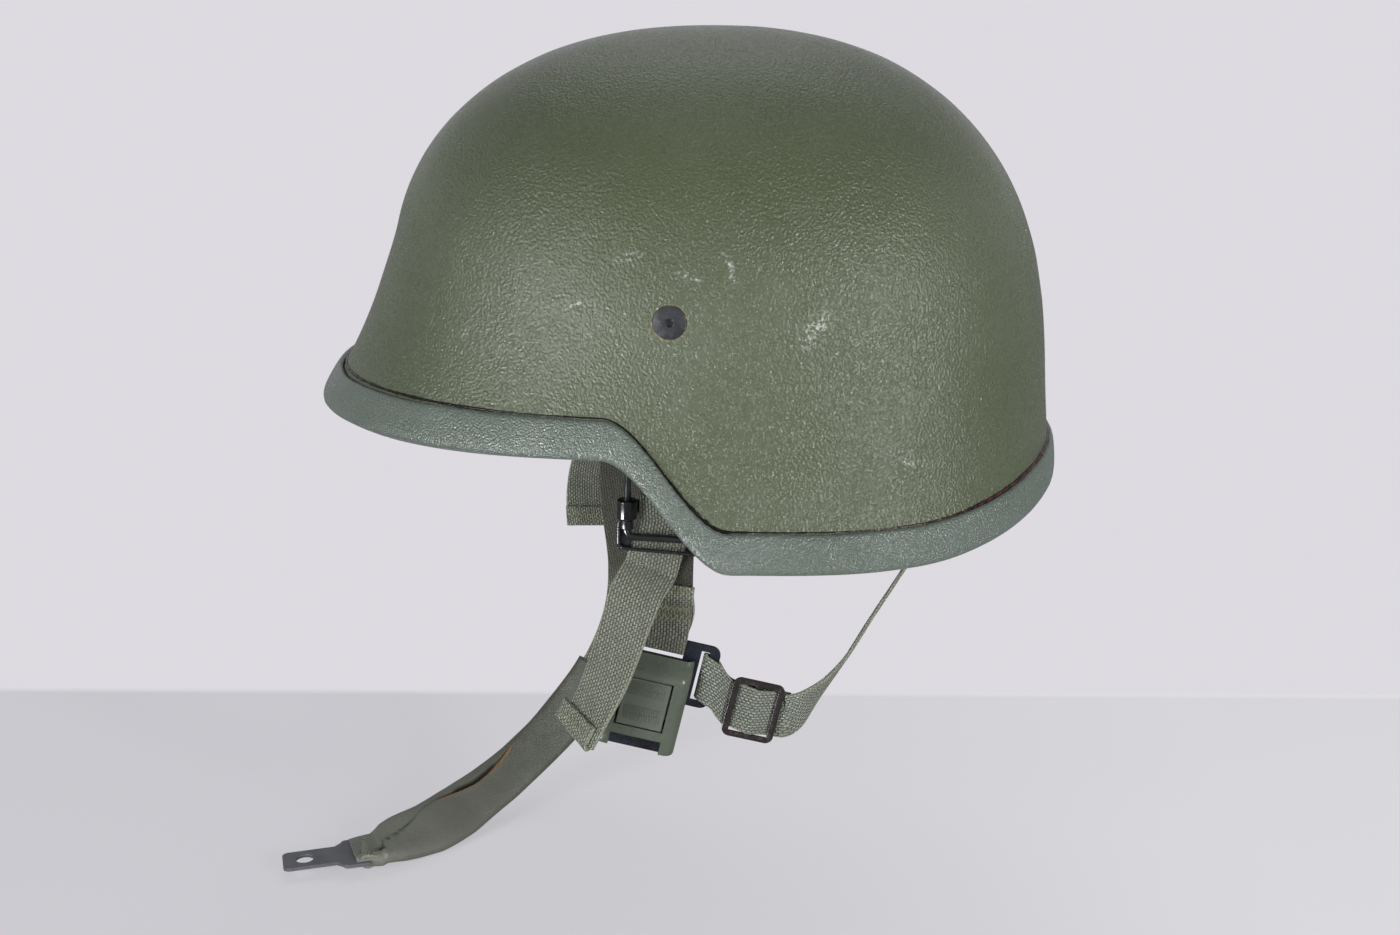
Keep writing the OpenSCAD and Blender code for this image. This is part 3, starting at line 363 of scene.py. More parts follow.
for at, lean, length, tall in scuff_rows:
    one = mark(at, (radians(lean), 0, 0), (0.008, length, tall))
    scuffs = one if scuffs is None else sums("MAXIMUM", scuffs, one)
flecks = ramp(blotches(place, 0.0016, 5.0, 0.7), (0.50, 0.0), (0.60, 1.0))
scuffs = sums("MULTIPLY", scuffs, flecks)
colour = mixed(sums("MULTIPLY", scuffs, 0.9), colour, (0.46, 0.47, 0.42))
for at, _ in screws.values():
    far = add(shader, "ShaderNodeVectorMath", {0: place, 1: 0.001 * at}, operation="DISTANCE")
    ring = ramp(sums("MULTIPLY", far.outputs["Value"], 100), (0.60, 1.0), (0.655, 0.8), (0.70, 0.0))
    ring = sums("MULTIPLY", ring, ramp(blotches(place, 0.003, 3.0), (0.42, 0.0), (0.58, 0.8)))
    colour = mixed(ring, colour, (0.24, 0.21, 0.10))
fill(shader, {"Base Color": colour,
              "Roughness": ramp(blotches(place, 0.03, 6.0, 0.7), (0.3, 0.21), (0.7, 0.32)),
              "Specular IOR Level": 0.5, "Sheen Weight": 0.12, "Sheen Roughness": 0.35,
              "Sheen Tint": (0.85, 0.85, 0.85, 1)})
peel = bumped(shader, blotches(place, 0.00105, 1.0, 0.5), 0.00062)
bumped(shader, grain, 0.00010, peel)


def shell_skin(depth, waves):
    """Place function of one face of the shell, depth millimetres under the outer one."""
    edges = {}

    def at(u, v):
        a = 2 * pi * u
        key = round(u * 720) % 720
        if key not in edges:
            edges[key] = edge_z(a)
        z = edges[key] + (crown_z - edges[key]) * sin(v * pi / 2)
        p, n = shell_point(a, z), shell_normal(a, z)
        if v > 0.9999:
            p, n = Vector((0, 0, crown_z)), Vector((0, 0, 1))
        fade = min(v * 6, 1)
        wave = waves * (0.35 * noise.noise(p * 0.022) + 0.12 * noise.noise(p * 0.07)) * fade
        swell = ((abs(p.y) - 62) / 34) ** 2 + ((p.z + 14) / 17) ** 2 if p.y > 0 else 9
        wave += 0.9 * waves * step_up(1 - swell / 2) * fade
        return p + (wave - depth) * n
    return at


bm = bmesh.new()
loft(bm, 360, 104, shell_skin(0, 1.0), wrap=True)
loft(bm, 360, 44, shell_skin(shell_wall, 0.0))
bmesh.ops.remove_doubles(bm, verts=bm.verts, dist=2e-6)
bmesh.ops.bridge_loops(bm, edges=[e for e in bm.edges if e.is_boundary])
shell = piece("helmet_shell", bm, "helmet", ["shell"], material)


def cut_away(made, bm):
    """Cuts the closed shapes in bm out of a piece."""
    cutter = bpy.data.objects.new("cutter", bpy.data.meshes.new("cutter"))
    bmesh.ops.recalc_face_normals(bm, faces=bm.faces)
    bm.to_mesh(cutter.data)
    bm.free()
    bpy.context.scene.collection.objects.link(cutter)
    cut = made.modifiers.new("cut", "BOOLEAN")
    cut.operation, cut.object, cut.solver, cut.use_self = "DIFFERENCE", cutter, "EXACT", True
    bpy.context.view_layer.update()
    whole = made.evaluated_get(bpy.context.evaluated_depsgraph_get())
    mesh = bpy.data.meshes.new_from_object(whole)
    made.modifiers.clear()
    made.data = mesh
    made.data.set_sharp_from_angle(angle=radians(35))
    bpy.data.objects.remove(cutter)


# A countersink is cone, mouth and bore, each as inner and outer radius, depth and middle.
countersink = ((0.0035, 0.00625, 0.0034, -0.0017), (0.00625, 0.0064, 0.003, 0.0015),
               (0.0035, 0.0035, 0.014, -0.0085))
bm = bmesh.new()
for at, turn in screws.values():
    hole = Matrix.Translation(0.001 * at) @ turn.to_4x4() @ Matrix.Rotation(pi / 2, 4, "Y")
    for inner, outer, deep, middle in countersink:
        bmesh.ops.create_cone(bm, cap_ends=True, segments=48, radius1=inner, radius2=outer,
                              depth=deep, matrix=hole @ Matrix.Translation((0, 0, middle)))
cut_away(shell, bm)


# Edge trim: an extruded rubber channel bonded over the whole edge, butted at the nape. It is
# moulded with a fine pebble and has gone a little blue. Its lip stands off the shell, with a
# line of old adhesive under it.
trim_height = 12.6
trim_section = [(0, 0.3, 12.2), (0, 0.8, 12.38), (0, 1.6, 12.25), (0, 2.15, 11.8), (0, 2.45, 11.1),
                (0, 2.62, 9.6), (0, 2.72, 7.5), (0, 2.75, 5.2), (0, 2.72, 3.2), (0, 2.62, 1.4),
                (0, 2.45, 0.1), (0, 2.1, -1.1), (0, 1.45, -1.9), (0, 0.5, -2.3),
                (0.33, 0, -2.45), (0.67, 0, -2.45), (1, 0.5, -2.3), (1, 1.45, -1.9), (1, 2.1, -1.1),
                (1, 2.4, 0.2), (1, 2.5, 3), (1, 2.5, 6.5), (1, 2.5, 10), (1, 2.3, 11.4),
                (1, 1.6, 12.2), (1, 0.8, 12.3), (1, 0.3, 12.1), (1, 0.3, 6), (1, 0.3, -0.3),
                (0, 0.3, -0.3), (0, 0.3, 6)]


def trim_place(u, v):
    """Point of the trim's section, u around it, at a place v along the edge."""
    a = radians(180.25 + 359.5 * v)
    z = edge_z(a)
    p0, p1 = shell_point(a, z), shell_point(a, z + trim_height)
    n0, n1 = shell_normal(a, z), shell_normal(a, z + trim_height)
    q0, q1 = p0 - shell_wall * n0, p1 - shell_wall * n1
    up, up_in = (p1 - p0).normalized(), (q1 - q0).normalized()
    side, off, rise = trim_section[round(u * len(trim_section)) % len(trim_section)]
    if 0 < side < 1:
        return p0.lerp(q0, side) + rise * up
    if side:
        return q0 - off * n0 + rise * up_in
    wave = (0.22 * noise.noise(p0 * 0.05) + 0.1 * noise.noise(p0 * 0.2)) if off > 0.4 else 0
    lip_wave = 0.35 * noise.noise(p0 * 0.06) if rise > 10 else 0
    return p0 + (off + wave) * n0 + (rise + lip_wave) * up


material, shader, place = new_finish("trim_rubber")
broad = blotches(place, 0.035, 5.0)
colour = ramp(broad, (0.3, (0.108, 0.140, 0.112)), (0.5, (0.124, 0.157, 0.130)),
              (0.72, (0.146, 0.178, 0.156)))
pebble = add(shader, "ShaderNodeTexVoronoi", {"Vector": place, "Scale": 1500.0},
             feature="SMOOTH_F1").outputs["Distance"]
colour = mixed(ramp(blotches(place, 0.0014, 4.0, 0.7), (0.56, 0.0), (0.74, 0.55)), colour,
               (0.23, 0.26, 0.23))
fill(shader, {"Base Color": colour,
              "Roughness": ramp(blotches(place, 0.012, 5.0), (0.3, 0.26), (0.7, 0.36)),
              "Specular IOR Level": 0.6, "Sheen Weight": 0.15})
fine = bumped(shader, pebble, -0.00052)
bumped(shader, blotches(place, 0.009, 2.0), 0.00012, fine)

bm = bmesh.new()
loft(bm, len(trim_section), 400, trim_place, (0.05, 0.86), wrap=True, close_ends=True)
piece("edge_channel", bm, "helmet", ["edge_trim"], material)


# Adhesive line: old glue squeezed out between the trim's lip and the shell. It is thin and black
# round the front and the ear, lumpy under the ear's corner, and rusty brown toward the nape.
def tube(bm, points, radius, sides=10, bulge=None):
    """Round cord along points in millimetres; bulge(i) scales its radius."""
    last = len(points) - 1
    ways = [(points[min(i + 1, last)] - points[max(i - 1, 0)]).normalized()
            for i in range(last + 1)]
    up = ways[0].orthogonal().normalized()
    ups = []
    for way in ways:
        up = (up - up.dot(way) * way).normalized()
        ups.append(up)

    def at(u, v):
        i = min(round(v * last), last)
        r = radius * (bulge(i) if bulge else 1)
        a = 2 * pi * round(u * sides) / sides
        return points[i] + r * (cos(a) * ups[i] + sin(a) * ways[i].cross(ups[i]))
    length = sum((b - a).length for a, b in zip(points, points[1:])) / 1000
    loft(bm, sides, last, at, (0.002 * pi * radius, length), wrap=True)


def glue_point(a):
    """Point on the line where the trim's lip meets the shell."""
    z = edge_z(a)
    n = shell_normal(a, z + trim_height)
    stray = 0.12 * noise.noise(Vector((60 * cos(a), 60 * sin(a), 0)))
    return shell_point(a, z + trim_height) + (0.1 + stray) * n


def glue_bulge(i):
    """Lumps of the bead, largest under the ear's corner."""
    p = glue_line[i]
    corner = max(0, 1 - abs(p.y) / 17)
    wide = 0.55 + 0.5 * step_up((-p.y - 60) / 30) + 0.95 * corner + 1.0 * step_up((p.y - 88) / 16)
    return wide * (1 + (0.35 + 0.5 * corner) * noise.noise(p * 0.6) + 0.2 * noise.noise(p * 0.15))


material, shader, place = new_finish("old_glue")
back = axis(place, "Y")
rust = sums("MULTIPLY", ramp(sums("MULTIPLY", back, 5.0), (0.2, 0.0), (0.4, 1.0)),
            ramp(blotches(place, 0.004, 4.0), (0.4, 0.1), (0.6, 1.0)))
fill(shader, {"Base Color": mixed(rust, (0.010, 0.006, 0.006), (0.095, 0.030, 0.026)),
              "Roughness": 0.22})
bumped(shader, blotches(place, 0.0012, 3.0), 0.0002)
glue_line = [glue_point(radians(181 + 358 * i / 1100)) for i in range(1101)]
bm = bmesh.new()
tube(bm, glue_line, 0.5, 8, glue_bulge)
closed_ends(bm)
piece("adhesive_line", bm, "helmet", [], material)


# Hardware finish: every small metal part is stamped or bent steel with a blacked or phosphated
# skin, bare and bright where it rubs. The helper joins the facets of a solid and rounds its edges.
def joined_copy(name, node, body, material, width, segments=2):
    """Piece with a solid's own shape, its facets joined and its sharp edges rounded by width."""
    bm = bmesh.new()
    bm.from_mesh(bpy.data.objects[node].data)
    bmesh.ops.remove_doubles(bm, verts=bm.verts, dist=2e-6)
    bmesh.ops.dissolve_limit(bm, angle_limit=radians(0.4), verts=bm.verts, edges=bm.edges)
    sharp = [e for e in bm.edges if e.is_manifold and e.calc_face_angle(0) > radians(30)]
    if width:
        bmesh.ops.bevel(bm, geom=sharp, offset=0.001 * width, offset_type="OFFSET", affect="EDGES",
                        segments=segments, profile=0.5, material=-1, clamp_overlap=True)
    made = piece(name, bm, body, [node], material, outward=False)
    crisp(made)
    return made


def blacked_steel(name, dark, bright, rough, worn=0.25, gloss=0.0):
    """Blacked steel: a smooth dark skin with light rubs, fine nicks and a dull film in places."""
    material, shader, place = new_finish(name)
    skin = ramp(blotches(place, 0.008, 4.0), (0.3, dark), (0.75, tuple(1.5 * c for c in dark)))
    nicks = ramp(blotches(place, 0.0016, 6.0, 0.75), (0.66, 0.0), (0.75, worn))
    edges = add(shader, "ShaderNodeNewGeometry").outputs["Pointiness"]
    rub = sums("MULTIPLY", ramp(edges, (0.54, 0.0), (0.66, 0.5)),
               ramp(blotches(place, 0.002, 4.0), (0.45, 0.0), (0.62, 1.0)))
    bare = sums("MAXIMUM", rub, nicks)
    fill(shader, {"Base Color": mixed(bare, skin, bright),
                  "Metallic": ramp(bare, (0.0, 0.1), (1.0, 0.9)),
                  "Roughness": ramp(blotches(place, 0.004, 4.0), (0.3, rough - 0.06),
                                    (0.7, rough + 0.1)),
                  "Specular IOR Level": 0.35 + 0.5 * gloss})
    bumped(shader, blotches(place, 0.0014, 3.0, 0.6), 0.00002)
    return material


# Screws and sleeve nuts: three blacked steel screws with a shallow cone head and a small centre
# hole pass through the shell. Each turns into a sleeve nut that clamps hanger or bracket,
# rubber spacer and head ring.
screw_steel = blacked_steel("screw_steel", (0.030, 0.033, 0.038), (0.42, 0.42, 0.42), 0.24, 0.3,
                            1.0)
nut_steel = blacked_steel("nut_steel", (0.07, 0.07, 0.066), (0.45, 0.45, 0.43), 0.40, 0.4)
for side in ("left", "right", "rear"):
    joined_copy("screw_head_" + side, "screw_" + side, "helmet", screw_steel, 0.22)
    joined_copy("sleeve_nut_" + side, "nut_" + side, "helmet", nut_steel, 0.18)


# Hangers and nape bracket: stamped steel strips blacked all over, with a rolled eye for the wire
# loop or a slot for the nape strap. They hang on the sleeve nuts inside the shell.
hanger_black = blacked_steel("hanger_black", (0.020, 0.021, 0.022), (0.30, 0.30, 0.29), 0.45)
for side in ("left", "right"):
    joined_copy("hanger_strip_" + side, "hanger_" + side, "helmet", hanger_black,
                0.3)
joined_copy("nape_bracket_strip", "nape_bracket", "helmet", hanger_black, 0.3)


# Spacers: round rubber blocks between hanger and ring, turned at the ends, held by the nuts.
def mottled(name, size, detail, dark, light, high=0.7, rough=0.7):
    """A plain finish whose tone wanders between two colours in blotches."""
    material, shader, place = new_finish(name)
    fill(shader, {"Base Color": ramp(blotches(place, size, detail), (0.3, dark), (high, light)),
                  "Roughness": rough})
    return material, shader, place


material, shader, place = mottled("spacer_rubber", 0.004, 5.0, (0.012, 0.012, 0.012),
                                  (0.030, 0.029, 0.027), 0.75)
fill(shader, {"Roughness": ramp(blotches(place, 0.002, 4.0), (0.3, 0.62), (0.7, 0.8))})
bumped(shader, blotches(place, 0.0008, 4.0), 0.00012)
for side in ("left", "right", "rear"):
    joined_copy("spacer_block_" + side, "spacer_" + side, "helmet", material, 0.6,
                segments=3)


# Head ring: an oval band of black plastic, a little narrower at its top, with a moulded grain.
material, shader, place = mottled("ring_plastic", 0.02, 5.0, (0.018, 0.018, 0.018),
                                  (0.032, 0.032, 0.031))
fill(shader, {"Roughness": ramp(blotches(place, 0.006, 5.0), (0.3, 0.42), (0.7, 0.6))})
bumped(shader, blotches(place, 0.0011, 3.0), 0.00010)
joined_copy("head_band", "head_ring", "helmet", material, 0.4, segments=3)


# Sweatband: brown leather sewn over a foam strip, pressed on the inside of the head ring. The
# cushion swells between two sewn rows, and fine creases run down it.
def leather(name, dark, light, rough, grain=0.0016, crease=0.00025):
    """Worn leather: pebbled grain, broad creases, lighter where it is rubbed."""
    material, shader, place = new_finish(name)
    colour = ramp(blotches(place, 0.018, 6.0, 0.65), (0.3, dark), (0.72, light))
    cells = add(shader, "ShaderNodeTexVoronoi", {"Vector": place, "Scale": 1 / grain},
                feature="DISTANCE_TO_EDGE").outputs["Distance"]
    pits = ramp(cells, (0.0, 0.0), (0.22, 1.0))
    colour = mixed(ramp(cells, (0.0, 0.55), (0.14, 0.0)), colour,
                   tuple(0.45 * c for c in dark))
    fill(shader, {"Base Color": colour,
                  "Roughness": ramp(blotches(place, 0.007, 4.0), (0.3, rough - 0.1),
                                    (0.7, rough + 0.1))})
    wrinkles = bumped(shader, blotches(place, 0.006, 6.0, 0.6), crease)
    bumped(shader, pits, 0.00010, wrinkles)
    return material, shader, colour


def thread(bm, a, b, normal, radius=0.32):
    """One stitch, a flattened bead from a to b in millimetres."""
    along, up = b - a, normal.normalized()
    length = along.length
    across = along.cross(up).normalized()
    up = across.cross(along).normalized()
    turn = Matrix((across, along.normalized(), up)).transposed().to_4x4()
    bead = Matrix.Diagonal((radius, 0.56 * length, 0.75 * radius, 1))
    bmesh.ops.create_icosphere(bm, subdivisions=2, radius=0.001,
                               matrix=Matrix.Translation(0.0005 * (a + b)) @ turn @ bead)


def seam(bm, points, normals, pitch, gap=0.45):
    """Row of stitches along points, each pitch long less the gap between them."""
    carry, start = 0.0, None
    for i in range(len(points) - 1):
        a, b = points[i], points[i + 1]
        step = (b - a).length
        while carry < step:
            p = a.lerp(b, carry / step)
            if start is not None and (p - start).length > 0.3:
                thread(bm, start, start.lerp(p, 1 - gap / pitch), normals[i])
            start = p
            carry += pitch
        carry -= step


ring_side, ring_long, ring_lean = 82.0, 103.0, 0.089


def ring_point(a, off, z):
    """Point of the head ring's outer face moved out by off, in millimetres."""
    x, y = oval(a)
    grow = ring_lean * (20 - z) + off
    return Vector((x * (ring_side + grow), y * (ring_long + grow), z))


def ring_out(a):
    """Outward direction of the ring at an azimuth."""
    d = ring_point(a + 0.002, 0, 20) - ring_point(a - 0.002, 0, 20)
    return d.cross(Vector((0, 0, 1))).normalized()


band_section = [(-1.95, 1.0), (-1.95, 1.8), (-3.8, 3), (-3.8, 12), (-3.8, 24), (-3.8, 34),
                (-3.8, 38), (-4.2, 39.6), (-5.2, 40.2), (-6.2, 39.8), (-6.8, 38.6), (-6.9, 37.2),
                (-6.6, 36.4), (-7.1, 35.4), (-7.8, 33), (-8.35, 29), (-8.6, 24), (-8.65, 19),
                (-8.5, 14), (-8.1, 9.5), (-7.5, 6.3), (-6.9, 4.6), (-6.5, 3.8), (-6.8, 3.0),
                (-6.7, 1.6), (-6.2, 0.5), (-5.2, -0.1), (-3.8, 0.0), (-2.6, 0.4)]


def band_place(u, v):
    """Point of the cushion's section, u round the section and v round the head."""
    a = 2 * pi * v
    off, z = band_section[round(u * len(band_section)) % len(band_section)]
    p = ring_point(a, off, z)
    if off < -6.4:
        swell = 0.35 * noise.noise(Vector((8 * cos(a), 8 * sin(a), z * 0.03)))
        pleat = 0.3 * max(0, sin(26 * a + 1.4 * noise.noise(Vector((cos(a), sin(a), 0)) * 4))) ** 6
        p = p + (swell + pleat * (1 - abs(z - 20) / 20)) * ring_out(a)
    return p


material = leather("sweatband_leather", (0.085, 0.042, 0.018), (0.16, 0.085, 0.040), 0.48)[0]
bm = bmesh.new()
loft(bm, len(band_section), 360, band_place, (0.095, 0.58), wrap=True)
sweatband = piece("sweatband_cushion", bm, "helmet", ["sweatband"], material)

tan_thread = mottled("tan_thread", 0.0008, 3.0, (0.15, 0.10, 0.05), (0.30, 0.21, 0.11))[0]
bm = bmesh.new()
for z, off in ((36.4, -6.95), (3.8, -6.9)):
    line = [ring_point(2 * pi * i / 240, off, z) for i in range(241)]
    seam(bm, line, [-ring_out(2 * pi * i / 240) for i in range(241)], 3.6)
piece("sweatband_stitches", bm, "helmet", [], tan_thread)


# Crown fingers: eight leather tongues sewn to the ring. They lean in under the dome, and each is
# turned round the drawcord and sewn back on itself.
finger_rows = [(1, 33.5, 24, 0), (0.989, 41, 24, 0), (0.94, 58, 23, 0), (0.83, 74, 21.5, 0),
               (0.63, 88, 20, 0.25), (0.45, 95.5, 19, 0.6)]
cord_z, cord_round, cord_r, knot_r = 97.0, 24.0, 1.6, 1.25
wrap = cord_r + 0.3 + 0.45


def catmull(p, q, r, w, t):
    """Smooth curve between q and r."""
    return 0.5 * (2 * q + (r - p) * t + (2 * p - 5 * q + 4 * r - w) * t * t
                  + (3 * q - p - 3 * r + w) * t * t * t)


def smooth_curve(keys, steps):
    """Smooth curve through keys, each a flat vector, without its last point."""
    n = len(keys) - 1
    return [catmull(keys[max(i - 1, 0)], keys[i], keys[i + 1], keys[min(i + 2, n)], j / steps)
            for i in range(n) for j in range(steps)]


def finger_line(a):
    """Radius, height and half width in degrees down the middle of a finger at azimuth a."""
    base = ring_point(a, -2.4, 33.5)
    base = Vector((base.x, base.y)).length
    keys = [Vector((base * r * (1 - m) + (55 * r + 12) * m, z, w)) for r, z, w, m in finger_rows]
    keys.append(Vector((cord_round + wrap * cos(radians(90)), cord_z + wrap, 20)))
    line = smooth_curve(keys, 6)
    line += [Vector((cord_round + wrap * cos(t), cord_z + wrap * sin(t), 20))
             for t in arc(90, 315, 15)]
    return line + [Vector((cord_round + 2.9 + 1.1 * i, cord_z - 1.9 - 0.75 * i, 20 - 0.35 * i))
                   for i in range(7)]


def finger_spot(line, k, a, off):
    """Point of a finger at azimuth a, off millimetres over its middle sheet, and its normal."""
    x, y = oval(a)
    out = Vector((x * ring_side, y * ring_long)).normalized()
    d = line[min(k + 1, len(line) - 1)] - line[max(k - 1, 0)]
    n = Vector((d.y, -d.x)).normalized()
    r, z = line[k].x + off * n.x, line[k].y + off * n.y
    return Vector((out.x * r, out.y * r, z)), Vector((out.x * n.x, out.y * n.x, n.y))


material = leather("finger_leather", (0.095, 0.048, 0.020), (0.185, 0.10, 0.048), 0.5)[0]
for number in range(1, 9):
    middle = radians(22.5 + 45 * (number - 1))
    lines = {}

    def finger_place(u, v, middle=middle, lines=lines):
        """Point of a finger: u round its thin section, v from the ring to the turned end."""
        around = u * 20
        across, face = ((around - 4.5) / 4.5, 1) if around <= 9.01 else ((14.5 - around) / 4.5, -1)
        if around > 19.01:
            across, face = -1, 1
        across = max(min(across, 1), -1)
        key = round(across * 9)
        if key not in lines:
            lines[key] = finger_line(middle + across * radians(15))
        mid = lines[key]
        k = min(round(v * (len(mid) - 1)), len(mid) - 1)
        thick = face * 0.45 * (1 if abs(across) < 0.99 else 0.55)
        ripple = 0.5 * noise.noise(Vector((4 * across, 0.2 * k, middle * 3))) if 4 < k < 30 else 0
        return finger_spot(mid, k, middle + across * radians(mid[k].z * 0.8), thick + ripple)[0]

    bm = bmesh.new()
    loft(bm, 20, len(finger_line(middle)) - 1, finger_place, (0.06, 0.11), wrap=True,
         close_ends=True)
    piece("crown_tongue_%d" % number, bm, "helmet", ["crown_finger_%d" % number],
          material)
bm = bmesh.new()
for number in range(8):
    middle = radians(22.5 + 45 * number)
    mid = finger_line(middle)
    for k in (2, 4, 28):
        reach = radians(mid[k].z * 0.8 * 0.82)
        row = [finger_spot(mid, k, middle + j / 8 * reach, -0.6) for j in range(-8, 9)]
        seam(bm, [p for p, n in row], [-n for p, n in row], 3.2)
piece("crown_stitches", bm, "helmet", [], tan_thread)


# Drawcord: a braided cord threaded through the eight fingers and tied at the brow side. Its two
# short ends are melted and hang inside.
material, shader, place = new_finish("drawcord")
moved = add(shader, "ShaderNodeMapping", {"Vector": own_uv(shader),
                                          "Rotation": (0, 0, radians(38))})
braid = add(shader, "ShaderNodeTexWave",
            {"Vector": moved.outputs[0], "Scale": 420.0, "Distortion": 0.4},
            wave_type="BANDS", bands_direction="Y").outputs["Fac"]
fill(shader, {"Base Color": mixed(braid, (0.045, 0.052, 0.032), (0.135, 0.145, 0.10)),
              "Roughness": 0.8})
bumped(shader, braid, 0.0003)
bm = bmesh.new()
turn_points = [Vector((cord_round * sin(a), -cord_round * cos(a), cord_z + 0.25 * sin(8 * a)))
               for a in [2 * pi * i / 160 for i in range(161)]]
tube(bm, turn_points, cord_r)
knot = [Vector((3.0 * sin(t) + 0.9 * sin(3 * t), -cord_round + 0.8 + 1.35 * cos(2 * t),
                cord_z - 0.4 + 1.5 * sin(3 * t))) for t in [2 * pi * i / 48 for i in range(49)]]
tube(bm, knot, knot_r)
for side in (-1, 1):
    tail = [Vector((side * (1.0 + 0.33 * i), -cord_round + 1.6 + 0.5 * i + 0.018 * i * i,
                    cord_z - 1.2 - 0.28 * i - 0.006 * i * i)) for i in range(18)]
    tube(bm, tail, knot_r, bulge=lambda i: 1.0 if i < 14 else (1.12 if i < 17 else 0.4))
bmesh.ops.remove_doubles(bm, verts=bm.verts, dist=1e-6)
closed_ends(bm)
piece("drawcord_braid", bm, "helmet", ["crown_cord"], material)


# Wire loops, guards and slide bars: bright-rubbed black wire hangs in each hanger's eye. A folded
# guard with a lip is clenched on its legs, and a bar on two knuckles slides up and down them.
wire_black = blacked_steel("wire_black", (0.016, 0.017, 0.019), (0.52, 0.52, 0.50), 0.13, 0.2, 1.0)
guard_black = blacked_steel("guard_black", (0.016, 0.016, 0.019), (0.33, 0.33, 0.33), 0.17, 0.2,
                            0.8)
slide_bar_black = blacked_steel("slide_bar_black", (0.010, 0.011, 0.013), (0.36, 0.36, 0.36), 0.14,
                                0.1, 0.8)
eye_x, hanger_drop, side_lean, leg_y, leg_hole = -13.2, 57.0, 5.1, 14.2, 1.46
hang_place, hang_turn = {}, {}
for side in ("left", "right"):
    at, turn = screws[side]
    hang_place[side] = at + turn @ Vector((eye_x, 0, -hanger_drop))
    hang_turn[side] = turn @ turned(("Y", side_lean))


def hang(side, x, y, z):
    """Point given in a wire loop's own frame."""
    return hang_place[side] + hang_turn[side] @ Vector((x, y, z))


def block(bm, home, y, z, x, bevel=0.0):
    """Box in a frame of its own, home, its edges rounded by bevel."""
    size = Matrix.Diagonal((0.001 * (x[1] - x[0]), 0.001 * (y[1] - y[0]), 0.001 * (z[1] - z[0]), 1))
    at = Matrix.Translation([0.0005 * sum(ends) for ends in (x, y, z)])
    made = bmesh.ops.create_cube(bm, size=1, matrix=home @ at @ size)["verts"]
    if bevel:
        bmesh.ops.bevel(bm, geom=list({e for v in made for e in v.link_edges}),
                        offset=0.001 * bevel, offset_type="OFFSET", affect="EDGES", segments=3,
                        profile=0.5, material=-1)


def collar(bm, side, y, hole, radius, low, high, soft):
    """Round sleeve on a leg of the wire loop, turned from a profile with soft corners."""
    turn = arc(0, 90, 15)
    profile = [(hole, low), (hole, high)]
    profile += [(radius - soft + soft * sin(t), high - soft + soft * cos(t)) for t in turn]
    profile += [(radius - soft + soft * cos(t), low + soft - soft * sin(t)) for t in turn]
    n = len(profile)

    def at(u, v):
        r, z = profile[round(v * n) % n]
        a = 2 * pi * round(u * 48) / 48
        return hang(side, r * cos(a), y + r * sin(a), z)
    loft(bm, 48, n, at, (0.02, 0.02), wrap=True)


for side in ("left", "right"):
    home = Matrix.Translation(0.001 * hang_place[side]) @ hang_turn[side].to_4x4()
    joined_copy("loop_wire_" + side, "wire_loop_" + side, side + "_loop",
                wire_black, 0)
    bm = bmesh.new()
    for s in (-1, 1):
        collar(bm, side, s * leg_y, leg_hole, 2.6, -21.8, -18.2, 0.5)
        block(bm, home, sorted((s * 12.4, s * 17.3)), (-30.0, -18.5), (-1.8, -0.8), 0.32)
        block(bm, home, sorted((s * 16.5, s * 17.4)), (-29.6, -18.5), (-1.7, 1.3), 0.4)
    rim = smooth_curve([Vector(p) for p in (
        (1.2, -17.0, -19.4), (1.2, -17.0, -24), (1.0, -16.9, -27.6), (0.6, -16.1, -29.1),
        (0.3, -14, -29.5), (0.3, 0, -30.0), (0.3, 14, -30.5), (0.6, 16.1, -30.2),
        (1.0, 16.9, -28.4), (1.2, 17.0, -24), (1.2, 17.0, -19.4))], 8)
    tube(bm, [hang(side, *p) for p in rim], 0.72)
    closed_ends(bm)
    guard = piece("loop_guard_" + side, bm, side + "_loop", ["guard_" + side],
                  guard_black)
    bm = bmesh.new()
    for s in (-1, 1):
        collar(bm, side, s * leg_y, leg_hole, 3.9, -18, -10.5, 0.8)
        block(bm, home, sorted((s * 11.6, s * 16)), (-16.75, -11.75), (-5.3, -1.8), 0.5)
    block(bm, home, (-leg_y, leg_y), (-16.75, -11.75), (-5.3, -3.5), 0.5)
    bar = piece("knuckle_bar_" + side, bm, side + "_strap", ["slide_bar_" + side],
                slide_bar_black)
    crisp(guard, flat=False)
    crisp(bar, flat=False)


